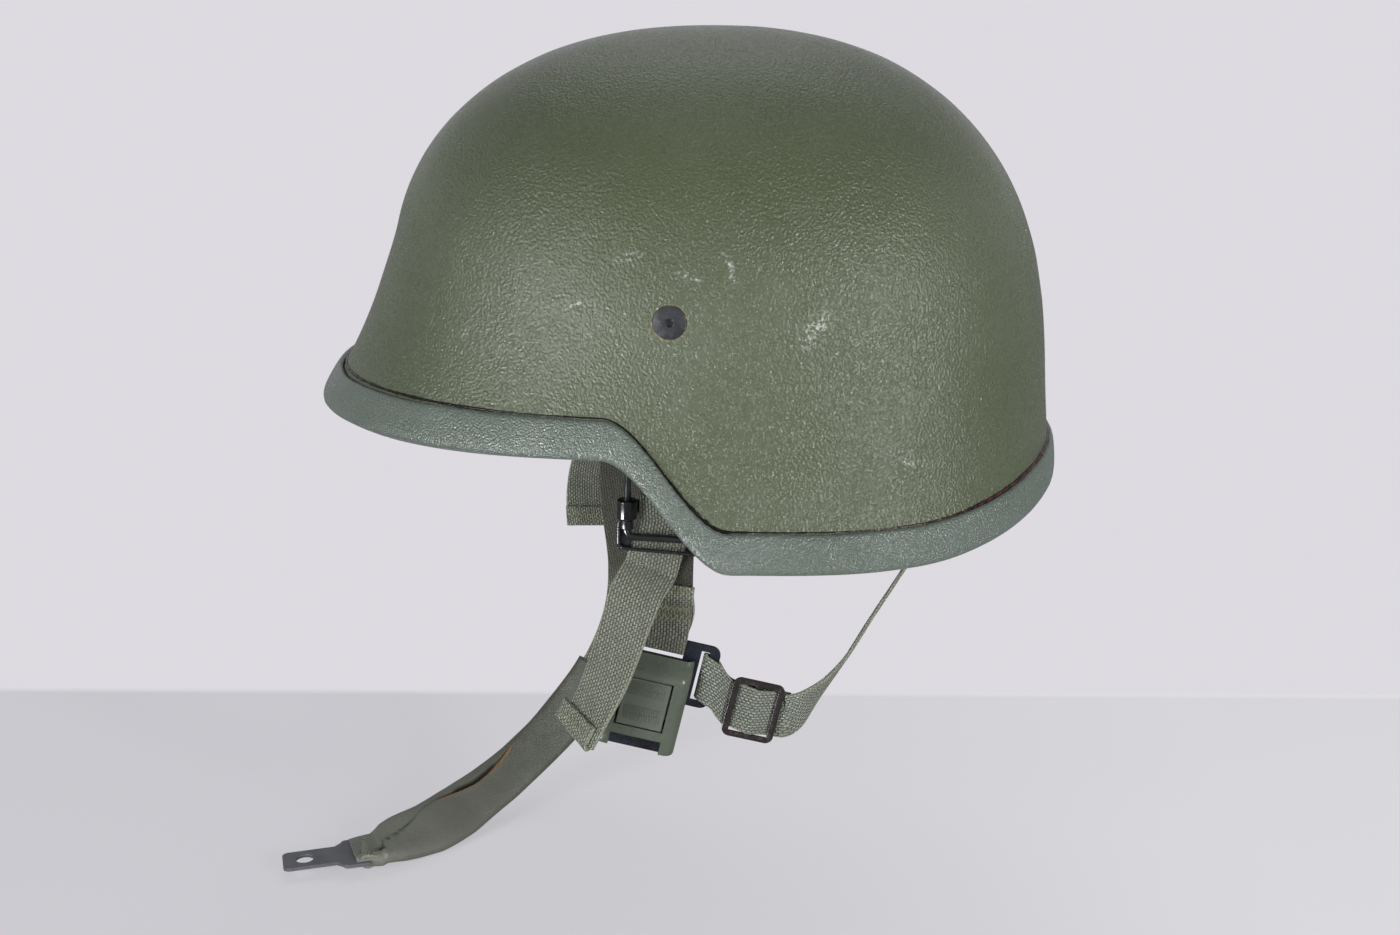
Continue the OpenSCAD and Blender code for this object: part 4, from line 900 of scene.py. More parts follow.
# Webbing: olive ribbon 20 mm wide, woven in a plain rib, with turned and sewn ends. The straps
# are modelled directly as they run through the adjusters, the buckle and the nape slide.
def webbing(name, dark, mid, light, girth):
    """Woven beads in staggered rows between two pale selvedges, read from the strap's own UVs,
    which are in metres; girth is half the way round its section."""
    material, shader, place = new_finish(name)
    own = own_uv(shader)
    rows = add(shader, "ShaderNodeMapping", {"Vector": own, "Rotation": (0, 0, radians(96))})
    weave = add(shader, "ShaderNodeTexBrick",
                {"Vector": rows.outputs[0], "Scale": 1000.0, "Color1": (1, 1, 1, 1),
                 "Color2": (0.5, 0.5, 0.5, 1), "Mortar": (0, 0, 0, 1), "Mortar Size": 0.42,
                 "Mortar Smooth": 1.0, "Brick Width": 1.75, "Row Height": 1.12}, offset=0.5)
    body = ramp(blotches(place, 0.014, 5.0), (0.3, dark), (0.52, mid), (0.75, light))
    fuzz = ramp(blotches(place, 0.0007, 3.0, 0.7), (0.3, 0.0), (0.75, 1.0))
    bead = ramp(weave.outputs["Color"], (0.0, 0.0), (0.85, 1.0))
    # Painted shade: the gaps between the woven beads are painted near black, where shade falls
    # between the yarns.
    body = mixed(bead, tuple(0.09 * c for c in dark), body)
    body = mixed(sums("MULTIPLY", fuzz, 0.22), body, tuple(1.6 * c for c in light))
    round_it = axis(own, "X")
    near = sums("PINGPONG", sums("ADD", round_it, 0.0008), girth)
    near = sums("MINIMUM", near, sums("SUBTRACT", girth, near))
    selvedge = ramp(sums("MULTIPLY", near, 100), (0.08, 0.3), (0.12, 0.0))
    body = mixed(selvedge, body, (1.15 * light[0], 1.15 * light[1], light[2]))
    # Painted shade: the strap's per-vertex darkening, given for stretches that lie in shade, paints
    # them down toward near black.
    painted_shade = add(shader, "ShaderNodeAttribute", attribute_name="painted_shade").outputs["Fac"]
    body = mixed(painted_shade, body, (0.022, 0.018, 0.014))
    fill(shader, {"Base Color": body, "Roughness": ramp(fuzz, (0.0, 0.7), (1.0, 0.9)),
                  "Sheen Weight": 0.3, "Sheen Roughness": 0.5, "Sheen Tint": (0.8, 0.85, 0.68, 1)})
    rib = bumped(shader, sums("MAXIMUM", bead, selvedge), 0.00060)
    bumped(shader, fuzz, 0.00008, rib)
    return material


strap_webbing = webbing("webbing", (0.27, 0.29, 0.215), (0.33, 0.35, 0.27), (0.39, 0.41, 0.33),
                        0.0209)
nape_webbing = webbing("nape_webbing", (0.26, 0.29, 0.23), (0.32, 0.35, 0.285),
                       (0.38, 0.41, 0.345), 0.0189)


def way(x, y, z, wx, wy, wz):
    """Key of a strap's run: a place and the direction of its width."""
    return Vector((x, y, z, wx, wy, wz))


def key_at(p, w):
    """Key of a strap's run from two vectors."""
    return Vector((*p, *w))


def smooth_run(keys, steps=12):
    """Stations of a strap's free run."""
    return [(Vector(k[:3]), Vector(k[3:]).normalized()) for k in smooth_curve(keys, steps)]


def evened(path, step=0.9):
    """The same strap with its stations about one step apart."""
    out, carry = [path[0]], step
    for (a, wa), (b, wb) in zip(path, path[1:]):
        length = (b - a).length
        while carry <= length:
            t = carry / length
            out.append((a.lerp(b, t), wa.lerp(wb, t).normalized()))
            carry += step
        carry -= length
    out.append(path[-1])
    return out


def strap_frames(path, square=True):
    """Each station's place, width direction and face normal."""
    out, last = [], len(path) - 1
    for i, (p, w) in enumerate(path):
        t = (path[min(i + 1, last)][0] - path[max(i - 1, 0)][0]).normalized()
        n = t.cross(w).normalized()
        out.append((p, n.cross(t).normalized() if square else w, n))
    return out


half_edge = [(-0.965 + 1.93 * i / 11, 1.0) for i in range(12)]
half_edge += [(0.992, 0.7), (1.0, 0.0), (0.992, -0.7)]
web_edge = half_edge + [(-x, -y) for x, y in half_edge]


def ribbon(bm, frames, width, thick=1.5, waver=0.12, painted_shade=None):
    """Woven strap along its frames, its UVs measured round the section and along the run. The last
    argument says how dark its painted shade is so many millimetres from its two ends."""
    mark = bm.verts.layers.float.new("painted_shade")
    n, m = len(frames), len(web_edge)
    run = [0.0]
    for a, b in zip(frames, frames[1:]):
        run.append(run[-1] + (b[0] - a[0]).length)
    girth = [0.0]
    for i in range(m):
        a, b = web_edge[i], web_edge[(i + 1) % m]
        part = Vector(((b[0] - a[0]) * width / 2, (b[1] - a[1]) * thick / 2))
        girth.append(girth[-1] + part.length)

    def at(u, v):
        i = min(round(v * (n - 1)), n - 1)
        across, up = web_edge[round(u * m) % m]
        p, w, face = frames[i]
        side = 1 + waver * 0.05 * noise.noise(Vector((run[i] * 0.12, copysign(3, across), width)))
        lift = waver * noise.noise(Vector((run[i] * 0.045, across, 0.7)))
        return p + across * side * width / 2 * w + (up * thick / 2 + lift) * face
    faces = loft(bm, m, n - 1, at, (m, n - 1), wrap=True)
    uv = bm.loops.layers.uv.verify()
    for f in faces:
        if f.is_valid:
            for corner in f.loops:
                u, v = corner[uv].uv
                k = min(round(v), n - 1)
                corner.vert[mark] = painted_shade(run[k], run[-1] - run[k]) if painted_shade else 0
                corner[uv].uv = (0.001 * girth[min(round(u), m)], 0.001 * run[k])


def turned_end(path, length=9.6, gap=1.55, aside=0.0):
    """The strap with its first end folded back under itself by length, and how many stations
    that took."""
    frames = strap_frames(path)
    back, run, i = [], 0.0, 0
    while run < length and i < len(path) - 1:
        p, w, n = frames[i]
        back.append((p - (gap + 0.06 * max(run - 3, 0)) * n + aside * w, path[i][1]))
        run += (frames[i + 1][0] - frames[i][0]).length
        i += 1
    p, w, n = frames[1]
    t = (frames[2][0] - frames[0][0]).normalized()
    mid = p - 0.5 * gap * n + 0.6 * aside * w
    fold = [(mid - 0.5 * gap * (cos(a) * n + sin(a) * t), w) for a in arc(15, 165, 15)]
    return list(reversed(back[1:])) + fold + path[1:], i


def zigzag(bm, frames, first, last, width, side, lift=0.85, pitch=2.1):
    """Zigzag stitches across the strap between two stations, on one of its faces."""
    count = round(width * 0.88 / pitch) * 2
    points, normals = [], []
    for j in range(count + 1):
        p, w, n = frames[first if j % 2 else last]
        points.append(p + (j / count - 0.5) * 0.88 * width * w + side * lift * n)
        normals.append(side * n)
    for a, b, n in zip(points, points[1:], normals):
        thread(bm, a.lerp(b, 0.06), a.lerp(b, 0.94), n, 0.3)


olive_thread = mottled("olive_thread", 0.0008, 3.0, (0.13, 0.14, 0.075), (0.27, 0.29, 0.18),
                       rough=0.75)[0]

strap_width, nape_width = 20.0, 18.0
bar_x, wrap_web, wrap_z, lip_z = -4.4, 1.95, -12.15, -30.0
front_x, back_x, tail_low, tail_lead = bar_x + wrap_web, bar_x - wrap_web, lip_z - 8, 0.26


def front_key(side, z):
    """Station of the tail just in front of the slide bar."""
    lead = hang_turn[side] @ Vector((0, 1, -tail_lead)).normalized()
    return hang(side, front_x, tail_lead * (z + 19), z), lead


def over_bar(side):
    """The strap's way up behind the lip, over the slide bar and down again."""
    w = hang_turn[side] @ Vector((0, 1, 0))
    return ([front_key(side, tail_low), front_key(side, -26), (front_key(side, -19)[0], w)]
            + [(hang(side, bar_x + wrap_web * cos(t), 0, wrap_z + wrap_web * sin(t)), w)
               for t in arc(0, 180, 12)]
            + [(hang(side, back_x, 0, z), w) for z in (-16, -19, -22, -25)])


# Left strap: its tail hangs outside the wire loop and ends in a hem. The load part comes down
# inside, goes round the bar at the top of the buckle's back plate, and is sewn back on its front.
buckle_place, buckle_turn = Vector((96, -23.9, -121)), turned(("X", -13.5))
buckle_w = buckle_turn @ Vector((0, 1, 0))
plate_mid, bar_loop, bar_low = -4.55, 1.8, 21.2


def buckle(x, y, z):
    """Point given in the buckle's own frame: x out of its front, z up."""
    return buckle_place + buckle_turn @ Vector((x, y, z))


side = "left"
left_w = hang_turn[side] @ Vector((0, 1, 0))
left_tail = smooth_run([
    way(107.5, -48.9, -131.6, 0.72, 0.61, -0.33), way(108.2, -43.4, -121, 0.72, 0.62, -0.30),
    way(107, -36.3, -105.5, 0.58, 0.79, -0.17), way(101.5, -29.6, -87, 0.42, 0.89, -0.17),
    way(98, -26.2, -78, 0.20, 0.97, -0.2), key_at(*front_key(side, tail_low))])
left_load = smooth_run([
    key_at(hang(side, back_x, 0.6, -27), left_w), way(89.6, -15.4, -68, 0, 1, -0.06),
    way(90.6, -15.6, -80, 0, 1, -0.14), key_at(buckle(plate_mid - 1.1, 1.0, 34), buckle_w),
    key_at(buckle(plate_mid - bar_loop, 0.5, 26.5), buckle_w),
    key_at(buckle(plate_mid - bar_loop, 0.5, 24.2), buckle_w)])
left_bar = [(buckle(plate_mid - bar_loop, 0.5, 24.2), buckle_w)]
left_bar += [(buckle(plate_mid - bar_loop * cos(t), 0.5, bar_low - bar_loop * sin(t)), buckle_w)
             for t in arc(0, 180, 12)]
left_back = smooth_run([key_at(buckle(plate_mid + bar_loop, 0.5, 24.2), buckle_w),
                        key_at(buckle(plate_mid + bar_loop, 0.5, 26.5), buckle_w),
                        key_at(buckle(plate_mid + 1.0, -0.1, 33), buckle_w),
                        key_at(buckle(plate_mid + 0.75, -0.9, 40), buckle_w),
                        key_at(buckle(plate_mid + 0.6, -1.4, 45.2), buckle_w)])
left_run = left_tail + over_bar(side) + left_load + left_bar + left_back
left_path, hem_count = turned_end(evened(left_run), aside=-2.4)
hem_end = hem_count + 14
frames = strap_frames(left_path, square=False)[:hem_end] + strap_frames(left_path)[hem_end:]
bm = bmesh.new()
# Painted shade: the single stretch of the load part coming down behind the tail to the buckle is
# painted nearly black, and the doubled end sewn back at the buckle is painted darker too.
ribbon(bm, frames, strap_width, painted_shade=lambda run, left: max(
    0.93 * step_up((left - 47) / 4) * (1 - step_up((left - 76) / 8)),
    0.40 * step_up((left - 3) / 4) * (1 - step_up((left - 24) / 6))))
closed_ends(bm)
piece("left_webbing", bm, "left_strap", ["strap_left"], strap_webbing)
bm = bmesh.new()
zigzag(bm, frames, 3, 6, strap_width, 1)
total = len(frames)
for start in (5, 13, 17):
    zigzag(bm, frames, total - start, total - start + 3, strap_width, -1)
for i in range(26):
    p, w, n = frames[i % 11]
    loose = noise.noise_vector(Vector((3.7 * i, 1.3, 2.1)))
    root = p + (9.3 - 3 * abs(loose.z)) * w - 0.8 * n
    thread(bm, root, root + 3.6 * loose + 1.1 * w - 0.8 * n, n, 0.17)
piece("left_webbing_stitches", bm, "left_strap", [], olive_thread)


# Chin strap: from its own hemmed tail over the right slide bar, down inside, across through the
# leather sleeve and round the bar of the tongue plate.
tongue_dir = Vector((0.25, -0.968, -0.03)).normalized()
tongue_w = -Vector((0, 0, 1)).cross(tongue_dir).normalized()
tongue_n = -tongue_w.cross(tongue_dir)
tongue_tip, tongue_bar, tongue_loop = Vector((2, -187.5, -239)), -36.3, 2.75


def tongue(x, z):
    """Point given in the tongue plate's own frame."""
    return tongue_tip + x * tongue_dir + z * tongue_n


side = "right"
right_w = hang_turn[side] @ Vector((0, 1, 0))
right_tail = smooth_run([
    way(-107.6, -58.6, -117, 0.1, 1, 0), way(-108.4, -58.8, -103, 0.05, 1, -0.02),
    way(-107, -56.5, -89, 0, 0.98, -0.15), way(-101, -51.5, -78.5, 0, 0.96, -0.25),
    way(-96.2, -47.8, -72.5, 0, 0.93, -0.35), key_at(*front_key(side, tail_low))])
chin_keys = [
    key_at(hang(side, back_x, 0, -27), right_w), way(-89, -40.5, -72, 0, 0.98, -0.2),
    way(-90, -41.5, -98, 0, 1, -0.08), way(-92, -38.5, -132, 0, 1, 0),
    way(-92, -41.5, -158, 0.02, 1, -0.15), way(-90, -52.5, -184, 0.1, 0.9, -0.42),
    way(-82, -72, -208, 0.3, 0.78, -0.55), way(-66, -93, -225, 0.5, 0.68, -0.53),
    way(-48, -110, -233.2, 0.62, 0.62, -0.46), way(-26.5, -125.5, -235.2, 0.65, 0.45, -0.61),
    way(-14.5, -137.8, -236, 0.86, 0.27, -0.42), key_at(tongue(tongue_bar - 6.6, -1.2), -tongue_w)]
chin_run = smooth_run(chin_keys)
chin_end = [(tongue(tongue_bar - 6, -1.25), -tongue_w)]
chin_end += [(tongue(tongue_bar + tongue_loop * cos(t), tongue_loop * sin(t)), -tongue_w)
             for t in arc(-105, 105, 14)]
chin_end += [(tongue(tongue_bar - 6, 1.1), -tongue_w), (tongue(tongue_bar - 7.4, 1.0), -tongue_w)]
chin_path, _ = turned_end(evened(right_tail + over_bar(side) + chin_run + chin_end))
frames = strap_frames(chin_path)
bm = bmesh.new()
# Painted shade: the chin strap's stretch that runs down inside the shell is painted darker.
ribbon(bm, frames, strap_width, painted_shade=lambda run, left:
       0.78 * step_up((run - 82) / 8) * (1 - step_up((run - 190) / 25)))
closed_ends(bm)
piece("chin_webbing", bm, "right_strap", ["chin_strap"], strap_webbing)
bm = bmesh.new()
zigzag(bm, frames, 3, 6, strap_width, 1)
piece("chin_webbing_stitches", bm, "right_strap", [], olive_thread)


# Chin sleeve: a strip of green leather wrapped twice round the webbing. The outer wrap's free edge
# wanders along the top, and it has sprung open in a slit whose cut edge shows the tan inside.
def evened_turns(frames, reach=7):
    """The same stations with each width and normal averaged over its neighbours'."""
    made = []
    for i, (p, _, _) in enumerate(frames):
        near = frames[max(i - reach, 0):i + reach + 1]
        made.append((p, *(sum((f[part] for f in near), Vector()).normalized() for part in (1, 2))))
    return made


tongue_end = [(tongue(tongue_bar + x, 0), -tongue_w) for x in (-5, -2, 1, 3.4, 5.6)]
sleeve_frames = evened_turns(strap_frames(chin_run + tongue_end)[56:])
sleeve_thick, sleeve_last, sleeve_start = 3.5, len(sleeve_frames) - 1, 0.05
sleeve_girth, sleeve_long, slit_at, pit_at = 0.062, 0.168, 0.452, 0.957
upper_keys = [(0.0, 12.5), (0.15, 11.6), (0.25, 11.0), (0.33, 11.3), (0.40, 12.4), (0.50, 13.1),
              (0.56, 13.2), (0.66, 12.5), (0.76, 13.0), (0.86, 13.6), (0.93, 13.2), (1.0, 12.2)]
lower_keys = [(0.0, 12.5), (0.15, 11.0), (0.25, 10.8), (0.35, 10.8), (0.45, 11.3), (0.55, 12.6),
              (0.66, 12.4), (0.71, 11.6), (0.80, 10.9), (0.90, 10.8), (1.0, 10.7)]
lap_keys = [(0.0, -1.0), (0.22, -1.0), (0.27, -0.93), (0.304, -0.77), (0.354, -0.54),
            (0.405, -0.42), (0.456, -0.39), (0.506, -0.49), (0.557, -0.62), (0.608, -0.72),
            (0.658, -0.70), (0.709, -0.46), (0.76, -0.27), (0.81, -0.15), (0.861, -0.03),
            (0.911, 0.16), (0.949, 0.32), (1.0, 0.75)]


def along(keys, v):
    """Value at a place v along a list of keys."""
    for (a, ca), (b, cb) in zip(keys, keys[1:]):
        if v <= b:
            return ca + (cb - ca) * min(max((v - a) / (b - a), 0), 1)
    return keys[-1][1]


def lap_line(v):
    """Where the outer wrap's edge lies across the sleeve, at a place along it."""
    return (along(lap_keys, v - 0.012) + along(lap_keys, v) + along(lap_keys, v + 0.012)) / 3


def sleeve_slit(v):
    """How open the slit is at a place along the sleeve, over its whole length and its wide part."""
    return max(0, 1 - ((v - slit_at) / 0.15) ** 2), max(0, 1 - ((v - slit_at) / 0.085) ** 2)


def sleeve_place(u, v):
    """Point of the sleeve's outer face: u round it from its upper edge, v along it."""
    v = sleeve_start + (1 - sleeve_start) * v
    i = min(v * sleeve_last, sleeve_last - 0.001)
    k = int(i)
    (p, w, n), (q, x, m) = sleeve_frames[k], sleeve_frames[k + 1]
    p, w, n = p.lerp(q, i - k), w.lerp(x, i - k).normalized(), n.lerp(m, i - k).normalized()
    t = pi - 2 * pi * u
    c = copysign(abs(cos(t)) ** 0.62, cos(t))
    s = copysign(abs(sin(t)) ** 0.8, sin(t))
    end = min(v - sleeve_start, 1 - v)
    swell = 1 - 0.25 * max(0, 1 - end / 0.06) ** 2
    puff = (1 + 0.10 * noise.noise(Vector((v * 7, s, 3)))
            + 0.05 * noise.noise(Vector((v * 22, 2 * s, c))))
    thick = sleeve_thick * swell * puff
    if s > 0:
        over = c - lap_line(v)
        thick += 1.0 * step_up(over / 0.05 + 0.5)
        slit, wide = sleeve_slit(v)
        beside = abs(over + 0.05 + 0.05 * wide) / (0.05 + 0.10 * wide)
        thick -= 2.4 * slit * max(0, 1 - beside) ** 0.7
        thick += 0.8 * slit * max(0, 1 - abs(over - 0.1) / 0.1)
        thick -= 0.7 * step_up((v - 0.70) / 0.05) * max(0, 1 - abs(over + 0.04) / 0.05)
        thick -= 3.0 * max(0, 1 - ((v - pit_at) / 0.028) ** 2) * max(0, 1 - abs(c - 0.45) / 0.22)
    else:
        thick += 0.5
    width = along(upper_keys if c < 0 else lower_keys, v)
    width *= 1 + 0.02 * noise.noise(Vector((v * 9, c, 9)))
    return p + c * width * w + s * thick * n


material, shader, colour = leather("sleeve_leather", (0.070, 0.078, 0.058), (0.112, 0.122, 0.094),
                                   0.50, 0.0011, 0.00030)
run = axis(own_uv(shader), "Y")
# The sleeve's colour is made lighter along its length toward the tongue plate.
worn = ramp(sums("MULTIPLY", run, 6.0), (0.12, 0.0), (0.5, 0.5), (0.95, 0.75))
colour = mixed(worn, colour, (0.205, 0.212, 0.178))
cut_edge = add(shader, "ShaderNodeAttribute", attribute_name="cut_edge").outputs["Fac"]
colour = mixed(ramp(cut_edge, (0.1, 0.0), (0.4, 1.0)), colour, (0.30, 0.17, 0.065))
# Painted shade: the open slit, the crease along the outer wrap's edge toward the tongue end and the
# pit near that end are painted near black, where shade falls in them.
painted_slit_shade = add(shader, "ShaderNodeAttribute", attribute_name="slit_shade").outputs["Fac"]
colour = mixed(painted_slit_shade, colour, (0.018, 0.019, 0.012))
fill(shader, {"Base Color": colour})
bm = bmesh.new()
wrapped = loft(bm, 132, 270, sleeve_place, (sleeve_girth, sleeve_long), wrap=True)
edge_mark = bm.verts.layers.float.new("cut_edge")
shade_mark = bm.verts.layers.float.new("slit_shade")
own = bm.loops.layers.uv.verify()
for f in wrapped:
    for corner in (f.loops if f.is_valid else []):
        u, v = corner[own].uv.x / sleeve_girth, corner[own].uv.y / sleeve_long
        v = sleeve_start + (1 - sleeve_start) * v
        c = cos(pi - 2 * pi * u)
        c = copysign(abs(c) ** 0.62, c)
        over, (slit, wide) = c - lap_line(v), sleeve_slit(v)
        pit = max(0, 1 - ((v - pit_at) / 0.03) ** 2) * max(0, 1 - abs(c - 0.45) / 0.24)
        if 0 < u < 0.5:
            corner.vert[edge_mark] = min(slit * 2.5, 1) * max(0, 1 - abs(over - 0.02) / 0.10)
            # The painted shade mask: the crease past the middle, the slit's gape and the pit near
            # the end.
            line = 0.7 * step_up((v - 0.68) / 0.06) * max(0, 1 - abs(over + 0.03) / 0.05)
            gape = min(wide * 2, 1) * max(0, 1 - abs(over + 0.12) / 0.14)
            corner.vert[shade_mark] = max(gape, line, min(2 * pit, 1))
rims = [e for e in bm.edges if e.is_boundary]
inner = bmesh.ops.extrude_edge_only(bm, edges=rims)["geom"]
first = sleeve_frames[round(sleeve_start * sleeve_last)]
for v in [g for g in inner if isinstance(g, bmesh.types.BMVert)]:
    p, w, n = first if (v.co - 0.001 * first[0]).length < 0.05 else sleeve_frames[-1]
    d = 1000 * v.co - p
    v.co = 0.001 * (p + 0.80 * d.dot(w) * w + 0.38 * d.dot(n) * n + 0.02 * d)
closed_ends(bm)
piece("chin_sleeve_leather", bm, "right_strap", ["chin_sleeve"], material)


# Buckle: a bent steel back plate carries a pressed green cover, riveted at its corners. A green
# button with two bands of moulded ribs presses a spring leaf, whose stud holds the tongue.
def green_plastic(name, dark, light, rough):
    """Hard green plastic: slightly mottled and greasy, with a few pale rubs."""
    material, shader, place = new_finish(name)
    body = ramp(blotches(place, 0.016, 4.0), (0.3, dark), (0.7, light))
    rub = ramp(blotches(place, 0.0018, 6.0, 0.7), (0.66, 0.0), (0.76, 0.35))
    fill(shader, {"Base Color": mixed(rub, body, tuple(1.7 * c for c in light)),
                  "Roughness": ramp(blotches(place, 0.006, 5.0), (0.3, rough - 0.07),
                                    (0.7, rough + 0.1))})
    bumped(shader, blotches(place, 0.0016, 3.0), 0.00003)
    return material


plate_black = blacked_steel("plate_black", (0.014, 0.017, 0.024), (0.32, 0.32, 0.33), 0.26, 0.25,
                            0.2)
cover_green = green_plastic("cover_green", (0.088, 0.104, 0.076), (0.110, 0.127, 0.096), 0.28)
button_green = green_plastic("button_green", (0.100, 0.118, 0.088), (0.124, 0.142, 0.110), 0.32)
latch_steel = blacked_steel("latch_steel", (0.05, 0.05, 0.052), (0.45, 0.45, 0.46), 0.35, 0.4)
rivet_steel = blacked_steel("rivet_steel", (0.035, 0.035, 0.037), (0.42, 0.42, 0.42), 0.38, 0.45)
back_plate = joined_copy("back_plate", "buckle_plate", "left_strap", plate_black,
                         0.3, segments=3)
buckle_home = Matrix.Translation(0.001 * buckle_place) @ buckle_turn.to_4x4()
buckle_back = buckle_home.inverted()
for v in back_plate.data.vertices:
    p = 1000 * (buckle_back @ v.co)
    lower = 4.4 * step_up((-p.z - (16.95 if abs(p.y) < 5 else 15)) / 0.6)
    if abs(p.z - 18.5) < 0.5 and abs(p.y) < 12:
        lower += 1.7
    v.co -= 0.001 * lower * (buckle_turn @ Vector((0, 0, 1)))

cover_front, cover_back, cover_half, cover_round = 5.35, -3.6, 15.5, 4.3


def cover_place(u, v):
    """Point of the cover's outer skin: u across it from its back edge, v up it."""
    z = -19.3 + 37.1 * v
    ramp_up = step_up((z - 10.4) / 9.4)
    front = cover_front - 6.6 * ramp_up - 0.7 * max(0, (-17.9 - z) / 1.4) ** 2
    side = cover_half - 0.25 * max(0, (abs(z + 0.75) - 17.0) / 1.5) ** 2
    r = min(cover_round, front - cover_back - 0.2)
    wall = max(front - r - cover_back, 0.05)
    stations = [(cover_back + wall * t / 4, side) for t in range(5)]
    stations += [(front - r + r * sin(t * pi / 20), side - r + r * cos(t * pi / 20))
                 for t in range(1, 11)]
    flat = [(side - r) * (1 - t / 8) for t in range(1, 9)]
    stations += [(front + 0.12 * (1 - (y / side) ** 2), y) for y in flat]
    k = round(u * 44)
    x, y = stations[min(k, 44 - k)]
    return buckle(x, y if k > 22 else -y, z)


bm = bmesh.new()
loft(bm, 44, 72, cover_place, (0.05, 0.036))
bmesh.ops.recalc_face_normals(bm, faces=bm.faces)
centre = 0.001 * buckle(-2, 0, 0)
if sum((f.calc_center_median() - centre).dot(f.normal) for f in bm.faces) < 0:
    bmesh.ops.reverse_faces(bm, faces=bm.faces)
bmesh.ops.solidify(bm, geom=bm.faces, thickness=0.0019)
housing = piece("buckle_housing", bm, "left_strap", ["buckle_cover"], cover_green)
for opening in (((-9.45, 9.45), (-10.25, 9.65), (0, 9)), ((-9.75, 9.75), (-20, -13.9), (-9, 9))):
    bm = bmesh.new()
    block(bm, buckle_home, *opening)
    cut_away(housing, bm)
edge = housing.modifiers.new("rounded_edges", "BEVEL")
edge.width, edge.segments, edge.limit_method, edge.angle_limit = 0.0003, 2, "ANGLE", radians(40)
housing.modifiers.new("flat_faces", "WEIGHTED_NORMAL").keep_sharp = True

bm = bmesh.new()
button_low, button_top = -9.8, 9.2
block(bm, buckle_home, (-8.75, 8.75), (button_low, button_top), (4.1, 5.5), 0.4)
for s in (-1, 1):
    block(bm, buckle_home, sorted((s * 8.7, s * 8)), (button_low + 0.3, button_top - 0.3),
          (1.5, 4.4))
    block(bm, buckle_home, sorted((s * 8.7, s * 8)), (-4.8, -1.5), (0.05, 2))
    block(bm, buckle_home, sorted((s * 10.4, s * 8)), (button_low + 4, button_top - 4), (1.5, 2.3))
for band in (-4.4, 5.6):
    for row in range(2):
        for i in range(-7, 8):
            y = 0.92 * (i + 0.25 - 0.5 * row)
            z = band + (1.45 if row else -1.45)
            block(bm, buckle_home, (y - 0.22, y + 0.22), (z - 1.35, z + 1.35), (5.3, 5.80), 0.09)
crisp(piece("press_button", bm, "button", ["release_button"], button_green,
            outward=False))

joined_copy("spring_leaf", "latch_spring", "latch", latch_steel, 0.15)
joined_copy("leaf_rivet", "latch_rivet", "left_strap", rivet_steel, 0.2)
for number in range(1, 5):
    joined_copy("housing_rivet_%d" % number, "cover_rivet_%d" % number, "left_strap",
                rivet_steel, 0.25, segments=3)


# Nape strap: lighter webbing from the bracket at the back of the head ring to the buckle's wing.
# It passes over the middle bar of a slide, round the wing's slot, and back through the slide.
slide_place, slide_turn = Vector((93, 17.2, -127)), turned(("Z", 3), ("X", -14))
slide_brown = blacked_steel("slide_brown", (0.022, 0.017, 0.017), (0.26, 0.20, 0.17), 0.22, 0.3,
                            0.6)
joined_copy("slide_frame", "nape_slide", "nape_adjuster", slide_brown, 0.4,
            segments=3)


def slide(x, y, z):
    """Point given in the slide's own frame."""
    return slide_place + slide_turn @ Vector((x, y, z))


wing_slot = 20.55


def wing(x, y):
    """Point beside the buckle's wing, with the strap's slant."""
    return buckle(x, y, 12 - 0.4 * (y - wing_slot + 1))


up_b, up_s, weave = buckle_turn @ Vector((0, 0, 1)), slide_turn @ Vector((0, 0, 1)), 1.75
sideways = Vector((1, 0, 0))
rear_place, rear_turn = screws["rear"]


def rear(x, z):
    """Point given in the rear screw's frame."""
    return rear_place + rear_turn @ Vector((x, 0, z))


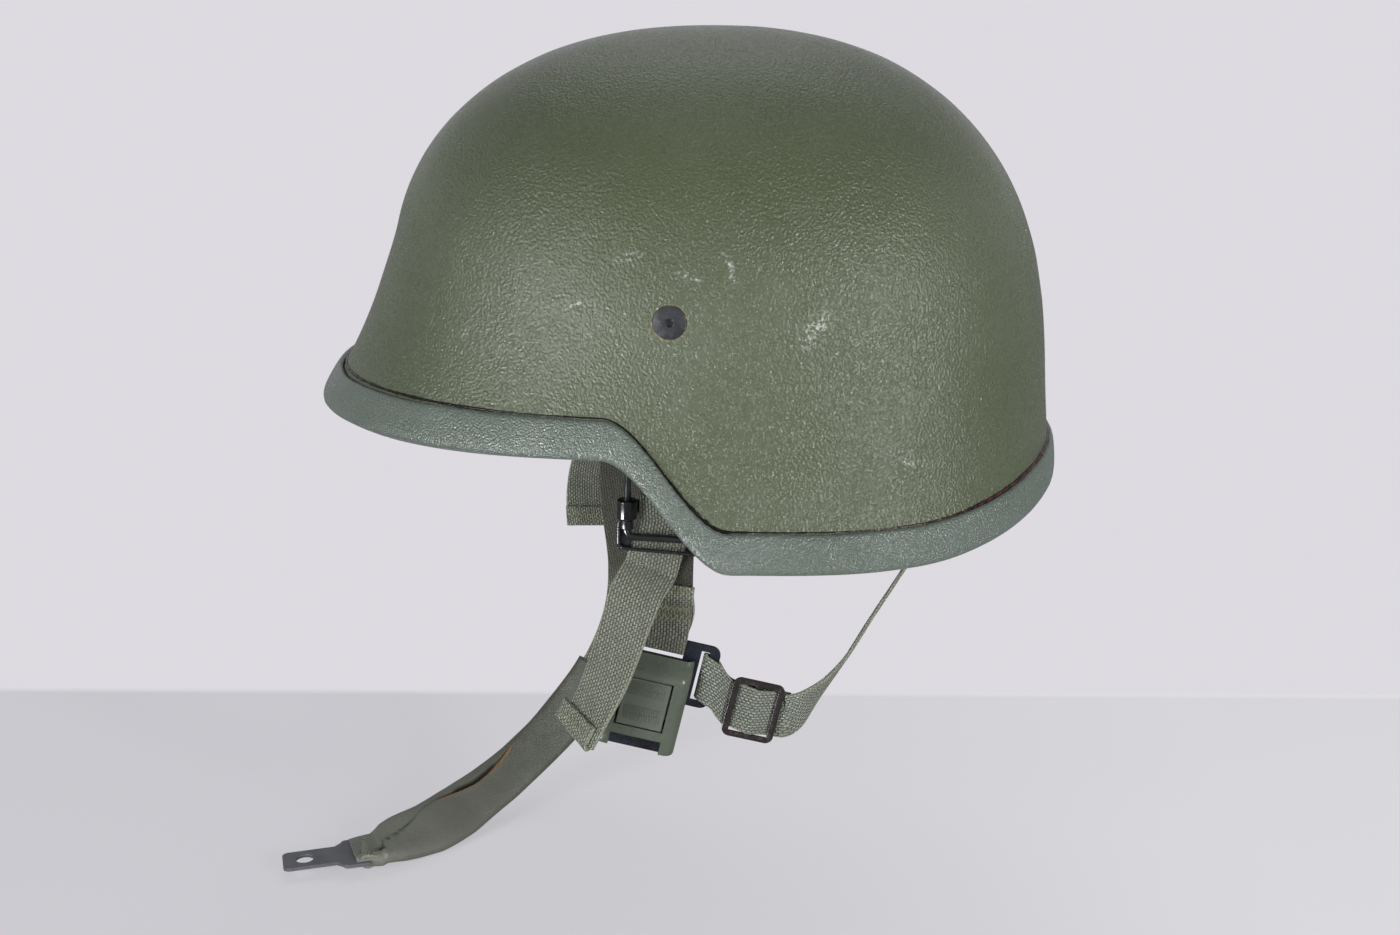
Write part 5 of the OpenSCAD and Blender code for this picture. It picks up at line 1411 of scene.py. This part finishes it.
nape_loop = smooth_run([
    key_at(slide(-weave - 2, 13, -0.4), up_s), key_at(slide(-weave - 2, 0, 0), up_s),
    key_at(slide(-weave - 2, -10.5, 0.4), up_s), key_at(wing(plate_mid - bar_loop, 24.6), up_b)], 8)
nape_loop += [(wing(plate_mid - bar_loop, 23.1), up_b)]
half_turn = arc(0, 180, 15)[::-1]
nape_loop += [(wing(plate_mid + bar_loop * cos(t), wing_slot - bar_loop * sin(t)), up_b)
              for t in half_turn]
nape_loop += [(wing(plate_mid + bar_loop, y), up_b) for y in (23.1, 25.3)]
over_keys = [key_at(wing(plate_mid + bar_loop, 25.3), up_b)]
over_keys += [key_at(slide(x, y, z), up_s) for x, y, z in (
    (-weave, -10.3, 0.3), (-weave, -7.9, 0.2), (weave, -0.8, 0), (weave, 0.8, 0),
    (-weave, 7.9, -0.2), (-weave, 10.6, -0.2))]
nape_loop += smooth_run(over_keys, 8)
nape_run = smooth_run([
    key_at(slide(-weave, 12.5, -0.2), up_s), way(88, 35.4, -128.2, 0.3, 0.1, 0.95),
    way(80.5, 44, -122.5, 0.75, 0.05, 0.66), way(70, 53.5, -114.3, 0.93, -0.05, 0.38),
    way(57, 64, -102.5, 0.93, -0.06, 0.34), way(42, 77, -88.5, 0.93, -0.06, 0.34),
    way(24, 93.5, -70, 0.95, -0.03, 0.25), way(9, 106.5, -54, 0.99, 0, 0.08),
    key_at(rear(-19.05, -52), sideways)])
nape_end = [rear(-19.05, -49)]
nape_end += [rear(-17.25 + 1.8 * cos(t), -46.95 + 1.8 * sin(t)) for t in half_turn]
nape_end += [rear(-15.45, z) for z in (-49.4, -53)]
nape_end = [(at, sideways) for at in nape_end]
nape_path = evened(nape_loop + nape_run + nape_end)
loops_end, bracket_start = len(evened(nape_loop)), len(nape_path) - 15
frames = strap_frames(nape_path, square=False)
frames[loops_end:bracket_start] = strap_frames(nape_path)[loops_end:bracket_start]
bm = bmesh.new()
ribbon(bm, frames, nape_width)
closed_ends(bm)
nape_strap = piece("nape_webbing", bm, None, ["nape_strap"], nape_webbing)
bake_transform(nape_strap)
bm = bmesh.new()
total = len(frames)
zigzag(bm, frames, total - 16, total - 13, nape_width, -1)
piece("nape_webbing_stitches", bm, "helmet", [], olive_thread)


# Tongue plate: pressed grey steel with a round latch hole, turned shoulders and a wide slot, in
# which the chin strap's loop holds it.
tongue_grey = blacked_steel("tongue_grey", (0.115, 0.118, 0.130), (0.36, 0.36, 0.37), 0.38, 0.3)
joined_copy("tongue_blade", "tongue_plate", "tongue", tongue_grey, 0.35, segments=3)
